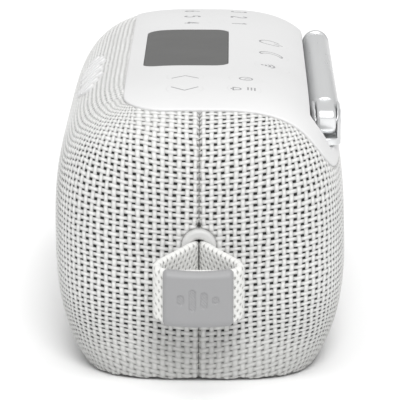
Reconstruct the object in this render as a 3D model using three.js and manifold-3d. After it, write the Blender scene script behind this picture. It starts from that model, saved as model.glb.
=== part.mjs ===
// A portable, fabric-covered radio speaker with a folding telescopic aerial and a webbing carry loop.
// Millimetres. X runs along the case towards the carry loop, -Y is the front, +Z is up.
// The origin is the middle of the rubber foot's underside.
import * as THREE from "three";
import { mergeVertices } from "three/addons/utils/BufferGeometryUtils.js";
import Module from "manifold-3d";

const wasm = await Module();
wasm.setup();

// ---------------------------------------------------------------- driving dimensions
const GAP = 0.3; // running gap kept between neighbouring pieces
const CASE = {
  halfLength: 86,
  halfWidth: 39.2,
  middleZ: 30.3,
  rise: 44.3, // from the middle of the section up to the crown
  drop: 45.1, // from the middle down to where the section would close below the flat underside
  endPower: 6.1,
  power: { upperFront: 3.16, upperRear: 3.45, lowerFront: 2.41, lowerRear: 2.33 },
  lean: -0.018, // how far the section's mid-line leans forward for each millimetre of height
  undersideZ: 0.9,
};
const SKIN = { fabric: 1, housing: 2.8 }; // wall thicknesses
const HOUSING_INSET = SKIN.fabric + GAP;
const CAVITY_INSET = HOUSING_INSET + SKIN.housing;
const PANEL = {
  halfLength: 75.5,
  frontY: -20.3,
  hemZ: 53.9, // lower edge of the apron on the rear face
  frontRadius: 12,
  cornerRadius: 9,
  wall: 2.2,
  ledge: 3.5, // how far the panel rests on the housing's rim
};
const WINDOW = { x: 7, y: -4.2, length: 56.6, width: 23, cornerRadius: 4, thickness: 1.6 };
const KEY_FOOT_Z = 67.4; // leaves the key's travel above the mat
const MAT = { bottomZ: 65.3, topZ: 66.8 };
const AERIAL = {
  y: 33.4,
  z: 64.3,
  pivotX: 59,
  tubeRadius: 4,
  tubeStartX: 47,
  tubeEndX: -54.5,
  tipEndX: -60.5,
};
const CHANNEL = { wallY: 29.1, floorZ: 58, nearX: 66.5, farX: -80, wall: 1.8, corner: 0.8 };
const DRIVER = { x: 42, y: -31.2, z: 34, flangeRadius: 22, boreRadius: 18 };
const RADIATOR = { y: 31.2, z: 35, length: 62, height: 34, diaphragmLength: 50, diaphragmHeight: 22 };
const PORT = { x: -56, z: 18, width: 26, height: 15, radius: 3, pocketWidth: 20, pocketHeight: 9.8 };
const STRAP = {
  tailEndX: 87.8,
  loopStartX: 88.7, // far enough out for the loop's root to swing clear of the slot
  z: 31.4,
  webbingHeight: 12.8,
  webbingThickness: 1.8,
  sinkPerMillimetre: 0.36,
};
const LOOP = { noseX: 13.3, shoulderX: 8.7, halfWidth: 11.7, noseRadius: 3, rootHalfWidth: 1.7 };
const SLEEVE = { x: 12.4, depth: 4.2, width: 18, height: 14.8, wall: 0.9, cornerRadius: 1.2 };
const ANCHOR = { x: 77.6, pinRadius: 1.4, pinReach: 11.5, eyeRadius: 1.8, turnRadius: 3.4 };
const BEZEL = { width: 9, height: 19.6, radius: 4.4, backX: 85.2, frontX: 87.8 };
const SLOT = { width: 4.6, height: 14.4, radius: 2.2 };
const FOOT = { length: 104, width: 26, cornerRadius: 12, thickness: 1.6 };
const SCREW = { x: 62, y: 17, headRadius: 2.6, shankRadius: 1.4 };
const DISPLAY = { low: [-21.9, -15.4], high: [36.2, 8.2], bottomZ: 65.3, topZ: 70.8 };
const FORK = { reach: 11, halfWidth: 3.9, slotHalf: 2.9, bottom: -5.9, floor: -4, top: 3.4 };

// ---------------------------------------------------------------- solids and finishes
function solid(geometry) {
  const bare = geometry.index ? geometry.toNonIndexed() : geometry.clone();
  bare.deleteAttribute("normal");
  bare.deleteAttribute("uv");
  const merged = mergeVertices(bare, 1e-4);
  const index = merged.index.array;
  const triangles = [];
  for (let i = 0; i < index.length; i += 3) {
    const [a, b, c] = [index[i], index[i + 1], index[i + 2]];
    if (a !== b && b !== c && c !== a) triangles.push(a, b, c);
  }
  return new wasm.Manifold(
    new wasm.Mesh({
      numProp: 3,
      vertProperties: merged.attributes.position.array,
      triVerts: new Uint32Array(triangles),
    }),
  );
}

function geometryOf(manifold) {
  const { numProp, vertProperties, triVerts } = manifold.getMesh();
  const positions = [];
  for (let i = 0; i < vertProperties.length; i += numProp) {
    positions.push(vertProperties[i], vertProperties[i + 1], vertProperties[i + 2]);
  }
  const geometry = new THREE.BufferGeometry();
  geometry.setAttribute("position", new THREE.Float32BufferAttribute(positions, 3));
  geometry.setIndex([...triVerts]);
  geometry.computeVertexNormals();
  return geometry;
}

const FINISH = {
  shell: { color: 0xdcdcda, roughness: 0.6, metalness: 0 },
  panel: { color: 0xf6f6f6, roughness: 0.4, metalness: 0 },
  fabric: { color: 0xe9e9e6, roughness: 0.9, metalness: 0 },
  window: { color: 0x6f706e, roughness: 0.2, metalness: 0 },
  rubber: { color: 0xbcbcbe, roughness: 0.7, metalness: 0 },
  darkPlastic: { color: 0x2c2d2f, roughness: 0.6, metalness: 0 },
  board: { color: 0x1f5a3a, roughness: 0.5, metalness: 0 },
  cone: { color: 0x3a3a3c, roughness: 0.8, metalness: 0 },
  magnet: { color: 0x55565a, roughness: 0.5, metalness: 0.8 },
  silver: { color: 0xd4d6d7, roughness: 0.25, metalness: 1 },
  steel: { color: 0xa9abad, roughness: 0.35, metalness: 1 },
  battery: { color: 0x3f6aa8, roughness: 0.5, metalness: 0 },
  webbing: { color: 0xf0f0ea, roughness: 0.9, metalness: 0 },
};

function piece(name, shape, finish) {
  const geometry = shape.isBufferGeometry ? shape : geometryOf(shape);
  const mesh = new THREE.Mesh(geometry, new THREE.MeshStandardMaterial(FINISH[finish]));
  mesh.name = name;
  return mesh;
}

// ---------------------------------------------------------------- outlines and prisms
function roundedRectangle(x, y, width, height, radius) {
  const shape = new THREE.Shape();
  const [left, right, low, high] = [x - width / 2, x + width / 2, y - height / 2, y + height / 2];
  shape.moveTo(left + radius, low);
  shape.lineTo(right - radius, low);
  shape.absarc(right - radius, low + radius, radius, -Math.PI / 2, 0, false);
  shape.lineTo(right, high - radius);
  shape.absarc(right - radius, high - radius, radius, 0, Math.PI / 2, false);
  shape.lineTo(left + radius, high);
  shape.absarc(left + radius, high - radius, radius, Math.PI / 2, Math.PI, false);
  shape.lineTo(left, low + radius);
  shape.absarc(left + radius, low + radius, radius, Math.PI, Math.PI * 1.5, false);
  return shape;
}

function circle(x, y, radius) {
  return new THREE.Shape().absarc(x, y, radius, 0, Math.PI * 2, false);
}

function polygon(points) {
  return new THREE.Shape(points.map(([x, y]) => new THREE.Vector2(x, y)));
}

function extrude(shape, depth, segments) {
  return new THREE.ExtrudeGeometry(shape, { depth, bevelEnabled: false, curveSegments: segments });
}

// The outline lies in X and Y.
function prismZ(shape, low, high, segments = 6) {
  return extrude(shape, high - low, segments).translate(0, 0, low);
}

// The outline lies in X and Z.
function prismY(shape, low, high, segments = 6) {
  return extrude(shape, high - low, segments)
    .rotateX(Math.PI / 2)
    .translate(0, high, 0);
}

// The outline lies in Y and Z.
function prismX(shape, low, high, segments = 6) {
  const turn = new THREE.Matrix4().makeBasis(
    new THREE.Vector3(0, 1, 0),
    new THREE.Vector3(0, 0, 1),
    new THREE.Vector3(1, 0, 0),
  );
  return extrude(shape, high - low, segments).applyMatrix4(turn).translate(low, 0, 0);
}

function block(low, high) {
  const size = high.map((value, i) => value - low[i]);
  const middle = high.map((value, i) => (value + low[i]) / 2);
  return new THREE.BoxGeometry(...size).translate(...middle);
}

// A turned piece about Y; the profile is pairs of radius and distance along the axis.
function turned(profile, segments = 16) {
  return new THREE.LatheGeometry(
    profile.map(([radius, along]) => new THREE.Vector2(radius, along)),
    segments,
  );
}

// ---------------------------------------------------------------- the case's outer form
function sectionPoint(angle, inset) {
  const cos = Math.cos(angle);
  const sin = Math.sin(angle);
  const upper = sin >= 0;
  const side = (upper ? "upper" : "lower") + (cos >= 0 ? "Rear" : "Front");
  const power = CASE.power[side];
  const reach = (Math.abs(cos) ** power + Math.abs(sin) ** power) ** (-1 / power);
  const height = (upper ? CASE.rise : CASE.drop) - inset;
  return [(CASE.halfWidth - inset) * cos * reach, height * sin * reach];
}

// A rounded bar whose section shrinks towards both ends; inset draws every wall inwards.
function caseForm(inset, rings = 20, sides = 24) {
  const points = [new THREE.Vector3(CASE.halfLength - inset, 0, CASE.middleZ)];
  for (let ring = 1; ring < rings; ring += 1) {
    const turn = (Math.PI * ring) / rings;
    const cos = Math.cos(turn);
    const sin = Math.sin(turn);
    const reach = (Math.abs(cos) ** CASE.endPower + sin ** CASE.endPower) ** (-1 / CASE.endPower);
    for (let side = 0; side < sides; side += 1) {
      const [y, z] = sectionPoint((2 * Math.PI * side) / sides, inset);
      const scale = sin * reach;
      points.push(
        new THREE.Vector3(
          (CASE.halfLength - inset) * cos * reach,
          scale * (y + CASE.lean * z),
          CASE.middleZ + scale * z,
        ),
      );
    }
  }
  points.push(new THREE.Vector3(inset - CASE.halfLength, 0, CASE.middleZ));
  const last = points.length - 1;
  const at = (ring, side) => 1 + (ring - 1) * sides + (side % sides);
  const faces = [];
  for (let side = 0; side < sides; side += 1) {
    faces.push(0, at(1, side), at(1, side + 1));
    faces.push(last, at(rings - 1, side + 1), at(rings - 1, side));
    for (let ring = 1; ring < rings - 1; ring += 1) {
      faces.push(at(ring, side), at(ring + 1, side), at(ring + 1, side + 1));
      faces.push(at(ring, side), at(ring + 1, side + 1), at(ring, side + 1));
    }
  }
  const geometry = new THREE.BufferGeometry().setFromPoints(points);
  geometry.setIndex(faces);
  return solid(geometry);
}

const FAR = 200; // beyond the case on every side
const outerForm = caseForm(0);
const housingForm = caseForm(HOUSING_INSET);
const cavityForm = caseForm(CAVITY_INSET);
const underPanelForm = caseForm(PANEL.wall);
const belowUnderside = solid(block([-FAR, -FAR, -FAR], [FAR, FAR, CASE.undersideZ]));
const frontHalf = solid(block([-FAR, -FAR, -FAR], [FAR, -GAP / 2, FAR]));
const rearHalf = solid(block([-FAR, GAP / 2, -FAR], [FAR, FAR, FAR]));

// The space the panel covers: a rounded oblong over the crown, wrapped down the rear face.
function panelFootprint(grow) {
  const radius = PANEL.cornerRadius + grow;
  const width = 2 * (PANEL.halfLength + grow);
  const depth = FAR;
  const plan = roundedRectangle(0, PANEL.frontY - grow + depth / 2, width, depth, PANEL.frontRadius + grow);
  const rear = roundedRectangle(0, PANEL.hemZ - grow + depth / 2, width, depth, radius);
  return solid(prismZ(plan, PANEL.hemZ - grow - 1, FAR)).intersect(solid(prismY(rear, -FAR, FAR)));
}

// ---------------------------------------------------------------- strap slot and rear port cut-outs
function grownOutline({ width, height, radius }, x, z, grow) {
  return roundedRectangle(x, z, width + 2 * grow, height + 2 * grow, radius + grow);
}

const slotShape = (grow) => grownOutline(SLOT, 0, STRAP.z, grow);
const bezelShape = (grow) => grownOutline(BEZEL, 0, STRAP.z, grow);
const portShape = (grow) => grownOutline(PORT, PORT.x, PORT.z, grow);

// ---------------------------------------------------------------- aerial channel in the panel
function channelSection(grow) {
  const wall = CHANNEL.wallY - grow;
  const floor = CHANNEL.floorZ - grow;
  const radius = CHANNEL.corner;
  const shape = new THREE.Shape();
  shape.moveTo(wall, FAR);
  shape.lineTo(wall, floor + radius);
  shape.absarc(wall + radius, floor + radius, radius, Math.PI, Math.PI * 1.5, false);
  shape.lineTo(FAR, floor);
  shape.lineTo(FAR, FAR);
  return shape;
}

function channelForm(grow) {
  return solid(prismX(channelSection(grow), CHANNEL.farX - grow, CHANNEL.nearX + grow, 2));
}

// Room under the channel's floor for the clip that holds the aerial's swivel.
function clipPocket(radius) {
  return solid(prismZ(circle(AERIAL.pivotX, AERIAL.y, radius), 54, 56, 5));
}

// ---------------------------------------------------------------- keys
function keyList() {
  const keys = [];
  [-32.4, -44.1, -55.8].forEach((x, column) => {
    keys.push({ name: `preset_key_${column + 1}`, x, y: 10.4, width: 5.2, depth: 11 });
    keys.push({ name: `preset_key_${column + 4}`, x, y: -3.4, width: 5.2, depth: 11 });
  });
  keys.push({ name: "previous_key", x: 50.9, y: -4.1, width: 9.6, depth: 9.6 });
  keys.push({ name: "next_key", x: 62.8, y: -4.1, width: 9.6, depth: 9.6 });
  keys.push({ name: "power_key", x: -6.7, y: 19.2, width: 9.4, depth: 9.4 });
  keys.push({ name: "source_key", x: 11.6, y: 19.2, width: 9.4, depth: 9.4 });
  keys.push({ name: "wireless_key", x: 30, y: 19.2, width: 9.4, depth: 9.4 });
  keys.push({ name: "clock_key", x: 51.4, y: 12, width: 8.8, depth: 8.8 });
  keys.push({ name: "alarm_key", x: 62, y: 11.6, width: 8.8, depth: 8.8 });
  return keys;
}

const KEYS = keyList();

function keyOutline(key, grow) {
  const radius = Math.min(key.width, key.depth) / 2 + grow - 0.01;
  return roundedRectangle(key.x, key.y, key.width + 2 * grow, key.depth + 2 * grow, radius);
}

function keySolid(key) {
  return solid(prismZ(keyOutline(key, 0), KEY_FOOT_Z, FAR, 2)).intersect(outerForm);
}

// ---------------------------------------------------------------- shells
function housing(half) {
  return housingForm
    .subtract(cavityForm)
    .subtract(belowUnderside)
    .intersect(half)
    .subtract(panelFootprint(GAP).subtract(caseForm(PANEL.wall + GAP)))
    .subtract(panelFootprint(-PANEL.ledge))
    .subtract(channelForm(CHANNEL.wall + GAP))
    .subtract(clipPocket(3.4))
    .subtract(solid(prismX(slotShape(GAP), 70, FAR, 3)));
}

// Two posts that take the base screws, each tied to the wall by a web.
function screwPosts(side) {
  const [near, far] = [11, 60].map((y) => y * side).sort((a, b) => a - b);
  const posts = [-1, 1].map((end) =>
    solid(block([SCREW.x * end - 4, near, 5.4], [SCREW.x * end + 4, far, 13])),
  );
  return posts[0].add(posts[1]).intersect(caseForm(CAVITY_INSET - 0.6));
}

function screwBores(side) {
  const bores = [-1, 1].map((end) =>
    solid(prismZ(circle(SCREW.x * end, SCREW.y * side, 1.7), 0, 12.4)),
  );
  return bores[0].add(bores[1]);
}

function frontHousing() {
  let shell = housing(frontHalf).add(screwPosts(-1)).subtract(screwBores(-1));
  for (const end of [-1, 1]) {
    const centre = [DRIVER.x * end, DRIVER.z];
    const seat = solid(prismY(circle(...centre, DRIVER.flangeRadius), -60, DRIVER.y - GAP, 8));
    const bore = solid(prismY(circle(...centre, DRIVER.boreRadius), -60, 0, 8));
    shell = shell.add(seat.intersect(caseForm(HOUSING_INSET + 0.4))).subtract(bore);
  }
  return shell;
}

function racetrack(width, height) {
  return roundedRectangle(0, RADIATOR.z, width, height, height / 2 - 0.01);
}

function rearHousing() {
  const seatShape = racetrack(RADIATOR.length, RADIATOR.height);
  const boreShape = racetrack(RADIATOR.length - 8, RADIATOR.height - 8);
  const seat = solid(prismY(seatShape, RADIATOR.y + GAP, 60, 3));
  return housing(rearHalf)
    .add(screwPosts(1))
    .subtract(screwBores(1))
    .add(seat.intersect(caseForm(HOUSING_INSET + 0.4)))
    .subtract(solid(prismY(boreShape, 20, 60, 3)))
    .subtract(solid(prismY(portShape(GAP), 20, 60, 2)));
}

function grilleFabric(half) {
  return outerForm
    .subtract(caseForm(SKIN.fabric))
    .subtract(belowUnderside)
    .intersect(half)
    .subtract(panelFootprint(GAP))
    .subtract(solid(prismX(bezelShape(GAP), 70, FAR, 3)))
    .subtract(solid(prismY(portShape(GAP), 20, 60, 2)))
    .subtract(solid(prismZ(namePlateShape(GAP), 60, FAR, 3)));
}

function topPanel() {
  let panel = outerForm.subtract(underPanelForm).intersect(panelFootprint(0));
  const trough = channelForm(CHANNEL.wall).intersect(outerForm).intersect(panelFootprint(0));
  panel = panel.add(trough).subtract(channelForm(0));
  panel = panel.subtract(solid(prismZ(circle(AERIAL.pivotX, AERIAL.y, 2.15), 50, 60)));
  panel = panel.subtract(clipPocket(3));
  const windowHole = roundedRectangle(
    WINDOW.x, WINDOW.y, WINDOW.length + 2 * GAP, WINDOW.width + 2 * GAP, WINDOW.cornerRadius + GAP,
  );
  panel = panel.subtract(solid(prismZ(windowHole, 60, FAR, 3)));
  for (const key of KEYS) {
    panel = panel.subtract(solid(prismZ(keyOutline(key, GAP), 60, FAR, 2)));
  }
  return panel;
}

// A blank oval plate let into the fabric of the front shoulder.
function namePlateShape(grow) {
  return roundedRectangle(12, -30.6, 46 + 2 * grow, 5.4 + 2 * grow, 2.6 + grow);
}

function namePlate() {
  return solid(prismZ(namePlateShape(0), 60, FAR, 3))
    .intersect(outerForm)
    .subtract(caseForm(SKIN.fabric));
}

function basePlate() {
  const top = solid(block([-FAR, -FAR, 4.9], [FAR, FAR, FAR]));
  const bottom = solid(block([-FAR, -FAR, -FAR], [FAR, FAR, FOOT.thickness + GAP]));
  let plate = caseForm(CAVITY_INSET + GAP).subtract(top).subtract(bottom);
  for (const side of [-1, 1]) {
    for (const end of [-1, 1]) {
      const centre = [SCREW.x * end, SCREW.y * side];
      plate = plate.subtract(solid(prismZ(circle(...centre, SCREW.shankRadius + GAP), 0, 6, 3)));
      plate = plate.subtract(solid(prismZ(circle(...centre, SCREW.headRadius + GAP), 0, 3.9, 4)));
    }
  }
  return plate;
}

function baseScrew(end, side) {
  const head = solid(prismZ(circle(0, 0, SCREW.headRadius), 2.1, 3.6, 4));
  const shank = solid(prismZ(circle(0, 0, SCREW.shankRadius), 3.5, 11.8, 4));
  const socket = solid(prismZ(polygon(hexagon(1)), 0, 2.9));
  const number = (side > 0 ? 3 : 1) + (end > 0 ? 1 : 0);
  const screw = piece(`base_screw_${number}`, head.add(shank).subtract(socket), "steel");
  screw.position.set(SCREW.x * end, SCREW.y * side, 0);
  return screw;
}

function hexagon(radius) {
  return [0, 1, 2, 3, 4, 5].map((corner) => {
    const angle = (corner * Math.PI) / 3;
    return [radius * Math.cos(angle), radius * Math.sin(angle)];
  });
}

function caseGroup() {
  const group = new THREE.Group();
  group.add(piece("front_housing", frontHousing(), "shell"));
  group.add(piece("rear_housing", rearHousing(), "shell"));
  group.add(piece("grille_fabric_front", grilleFabric(frontHalf), "fabric"));
  group.add(piece("grille_fabric_rear", grilleFabric(rearHalf), "fabric"));
  group.add(piece("top_panel", topPanel(), "panel"));
  group.add(piece("name_plate", namePlate(), "panel"));
  group.add(piece("base_plate", basePlate(), "shell"));
  const footShape = roundedRectangle(0, 0, FOOT.length, FOOT.width, FOOT.cornerRadius);
  group.add(piece("rubber_foot", prismZ(footShape, 0, FOOT.thickness, 4), "rubber"));
  for (const side of [-1, 1]) {
    for (const end of [-1, 1]) {
      group.add(baseScrew(end, side));
    }
  }
  return group;
}

// ---------------------------------------------------------------- display, boards and keys
function displayWindow() {
  const { x, y, length, width, cornerRadius, thickness } = WINDOW;
  return solid(prismZ(roundedRectangle(x, y, length, width, cornerRadius), 60, FAR, 3))
    .intersect(outerForm)
    .subtract(caseForm(thickness));
}

function keypadMat() {
  const sheet = solid(block([-60, -16, MAT.bottomZ], [68, 22, MAT.topZ]));
  const opening = solid(
    block([DISPLAY.low[0] - 0.4, -30, 60], [DISPLAY.high[0] + 0.4, DISPLAY.high[1] + 0.4, 80]),
  );
  return sheet.subtract(opening).intersect(caseForm(CAVITY_INSET + GAP));
}

function displayModule() {
  const frame = solid(
    block([...DISPLAY.low, DISPLAY.bottomZ], [...DISPLAY.high, DISPLAY.topZ]),
  );
  const glassRecess = solid(
    block([DISPLAY.low[0] + 2, DISPLAY.low[1] + 2, 70.2], [DISPLAY.high[0] - 2, DISPLAY.high[1] - 2, 80]),
  );
  return frame.subtract(glassRecess);
}

// A board with its tallest parts standing on it as plain blocks.
function board(low, high, parts) {
  let made = solid(block(low, high));
  for (const [x, y, length, width, height] of parts) {
    const base = high[2] - 0.1;
    made = made.add(
      solid(block([x - length / 2, y - width / 2, base], [x + length / 2, y + width / 2, base + height])),
    );
  }
  return made;
}

function boardGroup() {
  const group = new THREE.Group();
  group.add(piece("display_window", displayWindow(), "window"));
  group.add(piece("display_module", displayModule(), "darkPlastic"));
  group.add(piece("keypad_mat", keypadMat(), "rubber"));
  const keyBoard = board([-60, -16, 63.4], [68, 22, 64.9], []).intersect(caseForm(CAVITY_INSET + GAP));
  group.add(piece("key_board", keyBoard, "board"));
  const chips = [
    [-30, 4, 12, 12, 2],
    [-2, 8, 9, 9, 1.6],
    [24, 2, 14, 10, 3.4],
    [-46, -6, 8, 10, 4],
  ];
  group.add(piece("main_board", board([-58, -14, 57], [46, 20, 58.6], chips), "board"));
  return group;
}

function keyGroup() {
  const group = new THREE.Group();
  for (const key of KEYS) {
    group.add(piece(key.name, keySolid(key), "panel"));
  }
  return group;
}

// ---------------------------------------------------------------- loudspeakers
function driver(name, x) {
  const frame = [
    [17.2, 0], [21.7, 0], [21.7, 2], [18.6, 2], [12.6, 13], [7.6, 13], [7.6, 11.6], [11.4, 10.2],
    [17.2, 1.6], [17.2, 0],
  ];
  const magnet = [[0, 6], [5.2, 6], [5.2, 13.3], [15, 13.3], [15, 21], [0, 21]];
  const cone = [
    [0, 1.4], [5, 2.4], [6.8, 4], [16.2, 0.2], [16.2, 1], [6.6, 6], [6.6, 10.6], [5.8, 10.6], [5.8, 5],
    [0, 2.8],
  ];
  const group = new THREE.Group();
  group.position.set(x, DRIVER.y, DRIVER.z);
  group.add(piece(`driver_frame_${name}`, turned(frame), "steel"));
  group.add(piece(`driver_magnet_${name}`, turned(magnet), "magnet"));
  group.add(piece(`driver_cone_${name}`, turned(cone), "cone"));
  return group;
}

function radiatorGroup() {
  const group = new THREE.Group();
  const { y, length, height, diaphragmLength, diaphragmHeight } = RADIATOR;
  const ring = solid(prismY(racetrack(length, height), y - 2, y, 3)).subtract(
    solid(prismY(racetrack(diaphragmLength + 1.2, diaphragmHeight + 1.2), y - 9, y + 9, 3)),
  );
  const plate = solid(prismY(racetrack(diaphragmLength, diaphragmHeight), y - 1.8, y - 0.4, 3));
  const weight = solid(prismY(racetrack(diaphragmLength - 16, diaphragmHeight - 10), y - 3, y - 1, 3));
  group.add(piece("radiator_frame", ring, "darkPlastic"));
  group.add(piece("radiator_diaphragm", plate.add(weight), "cone"));
  return group;
}

// ---------------------------------------------------------------- battery and charging port
function batteryGroup() {
  const group = new THREE.Group();
  const cells = roundedRectangle(15, 27, 18.4, 36.8, 9.1);
  group.add(piece("battery_pack", prismX(cells, -34, 34, 6), "battery"));
  const cradle = solid(block([-37, 5, 5.4], [37, 25, 20])).subtract(
    solid(block([-34.4, 0, 8], [34.4, 40, 40])),
  );
  group.add(piece("battery_cradle", cradle, "darkPlastic"));
  return group;
}

function usbSocket() {
  const { x, z } = PORT;
  const shell = solid(prismY(roundedRectangle(x, z, 9.4, 3.8, 1.8), 27, 34.6, 3));
  const cavity = solid(prismY(roundedRectangle(x, z, 8.4, 2.8, 1.3), 28, 40, 3));
  const tongue = solid(block([x - 3.2, 27.5, z - 0.35], [x + 3.2, 33.4, z + 0.35]));
  return shell.subtract(cavity).add(tongue);
}

function portGroup() {
  const group = new THREE.Group();
  const pocket = roundedRectangle(PORT.x, PORT.z, PORT.pocketWidth, PORT.pocketHeight, 2.4);
  const frame = solid(prismY(portShape(0), 33.4, 60, 2))
    .intersect(outerForm)
    .subtract(solid(prismY(pocket, 20, 60, 2)));
  const plug = roundedRectangle(
    PORT.x, PORT.z - 0.1, PORT.pocketWidth - 2 * GAP, PORT.pocketHeight - 4 * GAP, 2,
  );
  const cover = solid(prismY(plug, 35.6, 60, 2)).intersect(outerForm);
  group.add(piece("port_frame", frame, "panel"));
  group.add(piece("port_cover", cover, "rubber"));
  group.add(piece("usb_socket", usbSocket(), "steel"));
  return group;
}

// ---------------------------------------------------------------- telescopic aerial, from its pivot
// Plan outline with a half-round nose about the swivel axis.
function forkOutline() {
  const shape = new THREE.Shape();
  shape.moveTo(-FORK.reach, -FORK.halfWidth);
  shape.lineTo(0, -FORK.halfWidth);
  shape.absarc(0, 0, FORK.halfWidth, -Math.PI / 2, Math.PI / 2, false);
  shape.lineTo(-FORK.reach, FORK.halfWidth);
  return shape;
}

function aerialFork() {
  const slot = solid(block([-FAR, -FORK.slotHalf, FORK.floor], [FAR, FORK.slotHalf, FAR]));
  const stud = solid(prismZ(circle(0, 0, 1.8), -9.9, FORK.bottom + 0.5, 4));
  const pinBore = solid(prismY(circle(0, 0, 1.4), -FAR, FAR, 5));
  return solid(prismZ(forkOutline(), FORK.bottom, FORK.top, 8))
    .subtract(slot)
    .add(stud)
    .subtract(pinBore);
}

// The outer tube, closed at the pivot end by a flat tongue that turns on the hinge pin.
function outerTube() {
  const { tubeRadius, tubeStartX, tubeEndX, pivotX } = AERIAL;
  const start = tubeStartX - pivotX;
  const end = tubeEndX - pivotX;
  const barrel = [[0, start], [tubeRadius - 0.6, start], [tubeRadius, start - 0.6], [tubeRadius, end + 0.3],
    [tubeRadius - 0.3, end], [3.3, end], [3.3, start - 6], [0, start - 6]];
  const tongueShape = new THREE.Shape();
  tongueShape.moveTo(start - 1, -3);
  tongueShape.lineTo(0, -3.4);
  tongueShape.absarc(0, 0, 3.4, -Math.PI / 2, 0, false);
  tongueShape.lineTo(3.4, 2.4);
  tongueShape.absarc(2.4, 2.4, 1, 0, Math.PI / 2, false);
  tongueShape.lineTo(start - 1, 3.4);
  const tongue = solid(prismY(tongueShape, -2.6, 2.6, 5));
  const bore = solid(prismY(circle(0, 0, 1.4), -FAR, FAR, 5));
  return alongMinusX(barrel, 20).add(tongue).subtract(bore);
}

// A turned piece whose profile is pairs of radius and X.
function alongMinusX(profile, segments) {
  const reversed = profile.map(([radius, x]) => [radius, -x]);
  return solid(turned(reversed, segments).rotateZ(Math.PI / 2));
}

function slidingTube(radius, bore, startX, endX) {
  const [start, end] = [startX - AERIAL.pivotX, endX - AERIAL.pivotX];
  return alongMinusX([[bore, start], [radius, start], [radius, end], [bore, end], [bore, start]], 16);
}

function aerialRod() {
  const [start, neck, end] = [34, -56.3, AERIAL.tipEndX].map((x) => x - AERIAL.pivotX);
  const radius = AERIAL.tubeRadius;
  const tip = [[0, start], [1.2, start], [1.2, neck], [radius - 0.3, neck], [radius, neck - 0.4]];
  for (let step = 0; step <= 4; step += 1) {
    const angle = (step * Math.PI) / 8;
    tip.push([radius - 2 + 2 * Math.cos(angle), end + 2 - 2 * Math.sin(angle)]);
  }
  tip.push([0, end]);
  return alongMinusX(tip, 16);
}

function aerialGroup() {
  const group = new THREE.Group();
  group.position.set(AERIAL.pivotX, AERIAL.y, AERIAL.z);
  group.add(piece("antenna_swivel", aerialFork(), "silver"));
  const clip = [[2.1, -9.7], [2.6, -9.7], [2.6, -8.7], [2.1, -8.7], [2.1, -9.7]];
  group.add(piece("antenna_clip", turned(clip, 12).rotateX(Math.PI / 2), "steel"));
  group.add(piece("antenna_hinge_pin", prismY(circle(0, 0, 1.1), -3.8, 3.8, 5), "steel"));
  group.add(piece("antenna_outer_tube", outerTube(), "silver"));
  group.add(piece("antenna_middle_tube", slidingTube(3, 2.4, 38, -55), "silver"));
  group.add(piece("antenna_inner_tube", slidingTube(2.1, 1.5, 36, -55.5), "silver"));
  group.add(piece("antenna_rod", aerialRod(), "silver"));
  return group;
}

// ---------------------------------------------------------------- carry loop, from where it leaves the slot
// The loop's outline in plan, offset inwards by a wall; x counts outwards from the loop's root.
function loopOutline(wall) {
  const nose = LOOP.noseX - wall;
  const shoulder = LOOP.halfWidth - wall;
  const radius = LOOP.noseRadius - wall;
  const points = [[1.5 * wall, 0.41 * wall - LOOP.rootHalfWidth]];
  points.push([LOOP.shoulderX, -shoulder]);
  for (let step = 0; step <= 3; step += 1) {
    const angle = (step * Math.PI) / 6;
    points.push([nose - radius + radius * Math.sin(angle), radius - shoulder - radius * Math.cos(angle)]);
  }
  const mirrored = points.map(([x, y]) => [x, -y]).reverse();
  return [...points, ...mirrored];
}

// The webbing sinks evenly as it leaves the case, while its faces stay upright.
function webbingLoop() {
  const half = STRAP.webbingHeight / 2;
  const inner = solid(prismZ(polygon(loopOutline(STRAP.webbingThickness)), -20, 20));
  const straight = solid(prismZ(polygon(loopOutline(0)), -half, half)).subtract(inner);
  const sink = new THREE.Matrix4();
  sink.elements[2] = -STRAP.sinkPerMillimetre;
  return geometryOf(straight).applyMatrix4(sink);
}

function strapSleeve() {
  const { x, depth, width, height, wall, cornerRadius } = SLEEVE;
  const outline = roundedRectangle(0, 0, depth, height, cornerRadius);
  const opening = roundedRectangle(0, 0, depth - 2 * wall, height - 1, 0.4);
  const body = solid(prismY(outline, -width / 2, width / 2, 3));
  const sleeve = piece("strap_sleeve", body.subtract(solid(prismY(opening, -FAR, FAR, 1))), "rubber");
  sleeve.position.set(x, 0, -STRAP.sinkPerMillimetre * x);
  return sleeve;
}

// Both plies of the webbing, from just inside the slot back round the anchor pin.
function strapTail() {
  const ply = 1.7;
  const meet = Math.asin(ply / ANCHOR.turnRadius);
  const outline = new THREE.Shape();
  outline.moveTo(STRAP.tailEndX, -ply);
  outline.lineTo(STRAP.tailEndX, ply);
  outline.absarc(ANCHOR.x, 0, ANCHOR.turnRadius, meet, 2 * Math.PI - meet, false);
  const height = STRAP.webbingHeight / 2;
  const eye = solid(prismZ(circle(ANCHOR.x, 0, ANCHOR.eyeRadius), 0, 100, 3));
  return solid(prismZ(outline, STRAP.z - height, STRAP.z + height, 8)).subtract(eye);
}

// A bent plate with an ear above and below the webbing.
function strapBracket() {
  const [back, front, reach, ear] = [71.4, 73, 80, 9];
  const side = polygon([
    [back, STRAP.z - ear - 2], [reach, STRAP.z - ear - 2], [reach, STRAP.z - ear], [front, STRAP.z - ear],
    [front, STRAP.z + ear], [reach, STRAP.z + ear], [reach, STRAP.z + ear + 2], [back, STRAP.z + ear + 2],
  ]);
  const pinBore = solid(prismZ(circle(ANCHOR.x, 0, ANCHOR.pinRadius + GAP), 0, 100, 3));
  return solid(prismY(side, -6, 6)).subtract(pinBore);
}

function strapBezel() {
  const ring = solid(prismX(bezelShape(0), BEZEL.backX, BEZEL.frontX, 4));
  return ring.subtract(solid(prismX(slotShape(0), 70, FAR, 3)));
}

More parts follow.
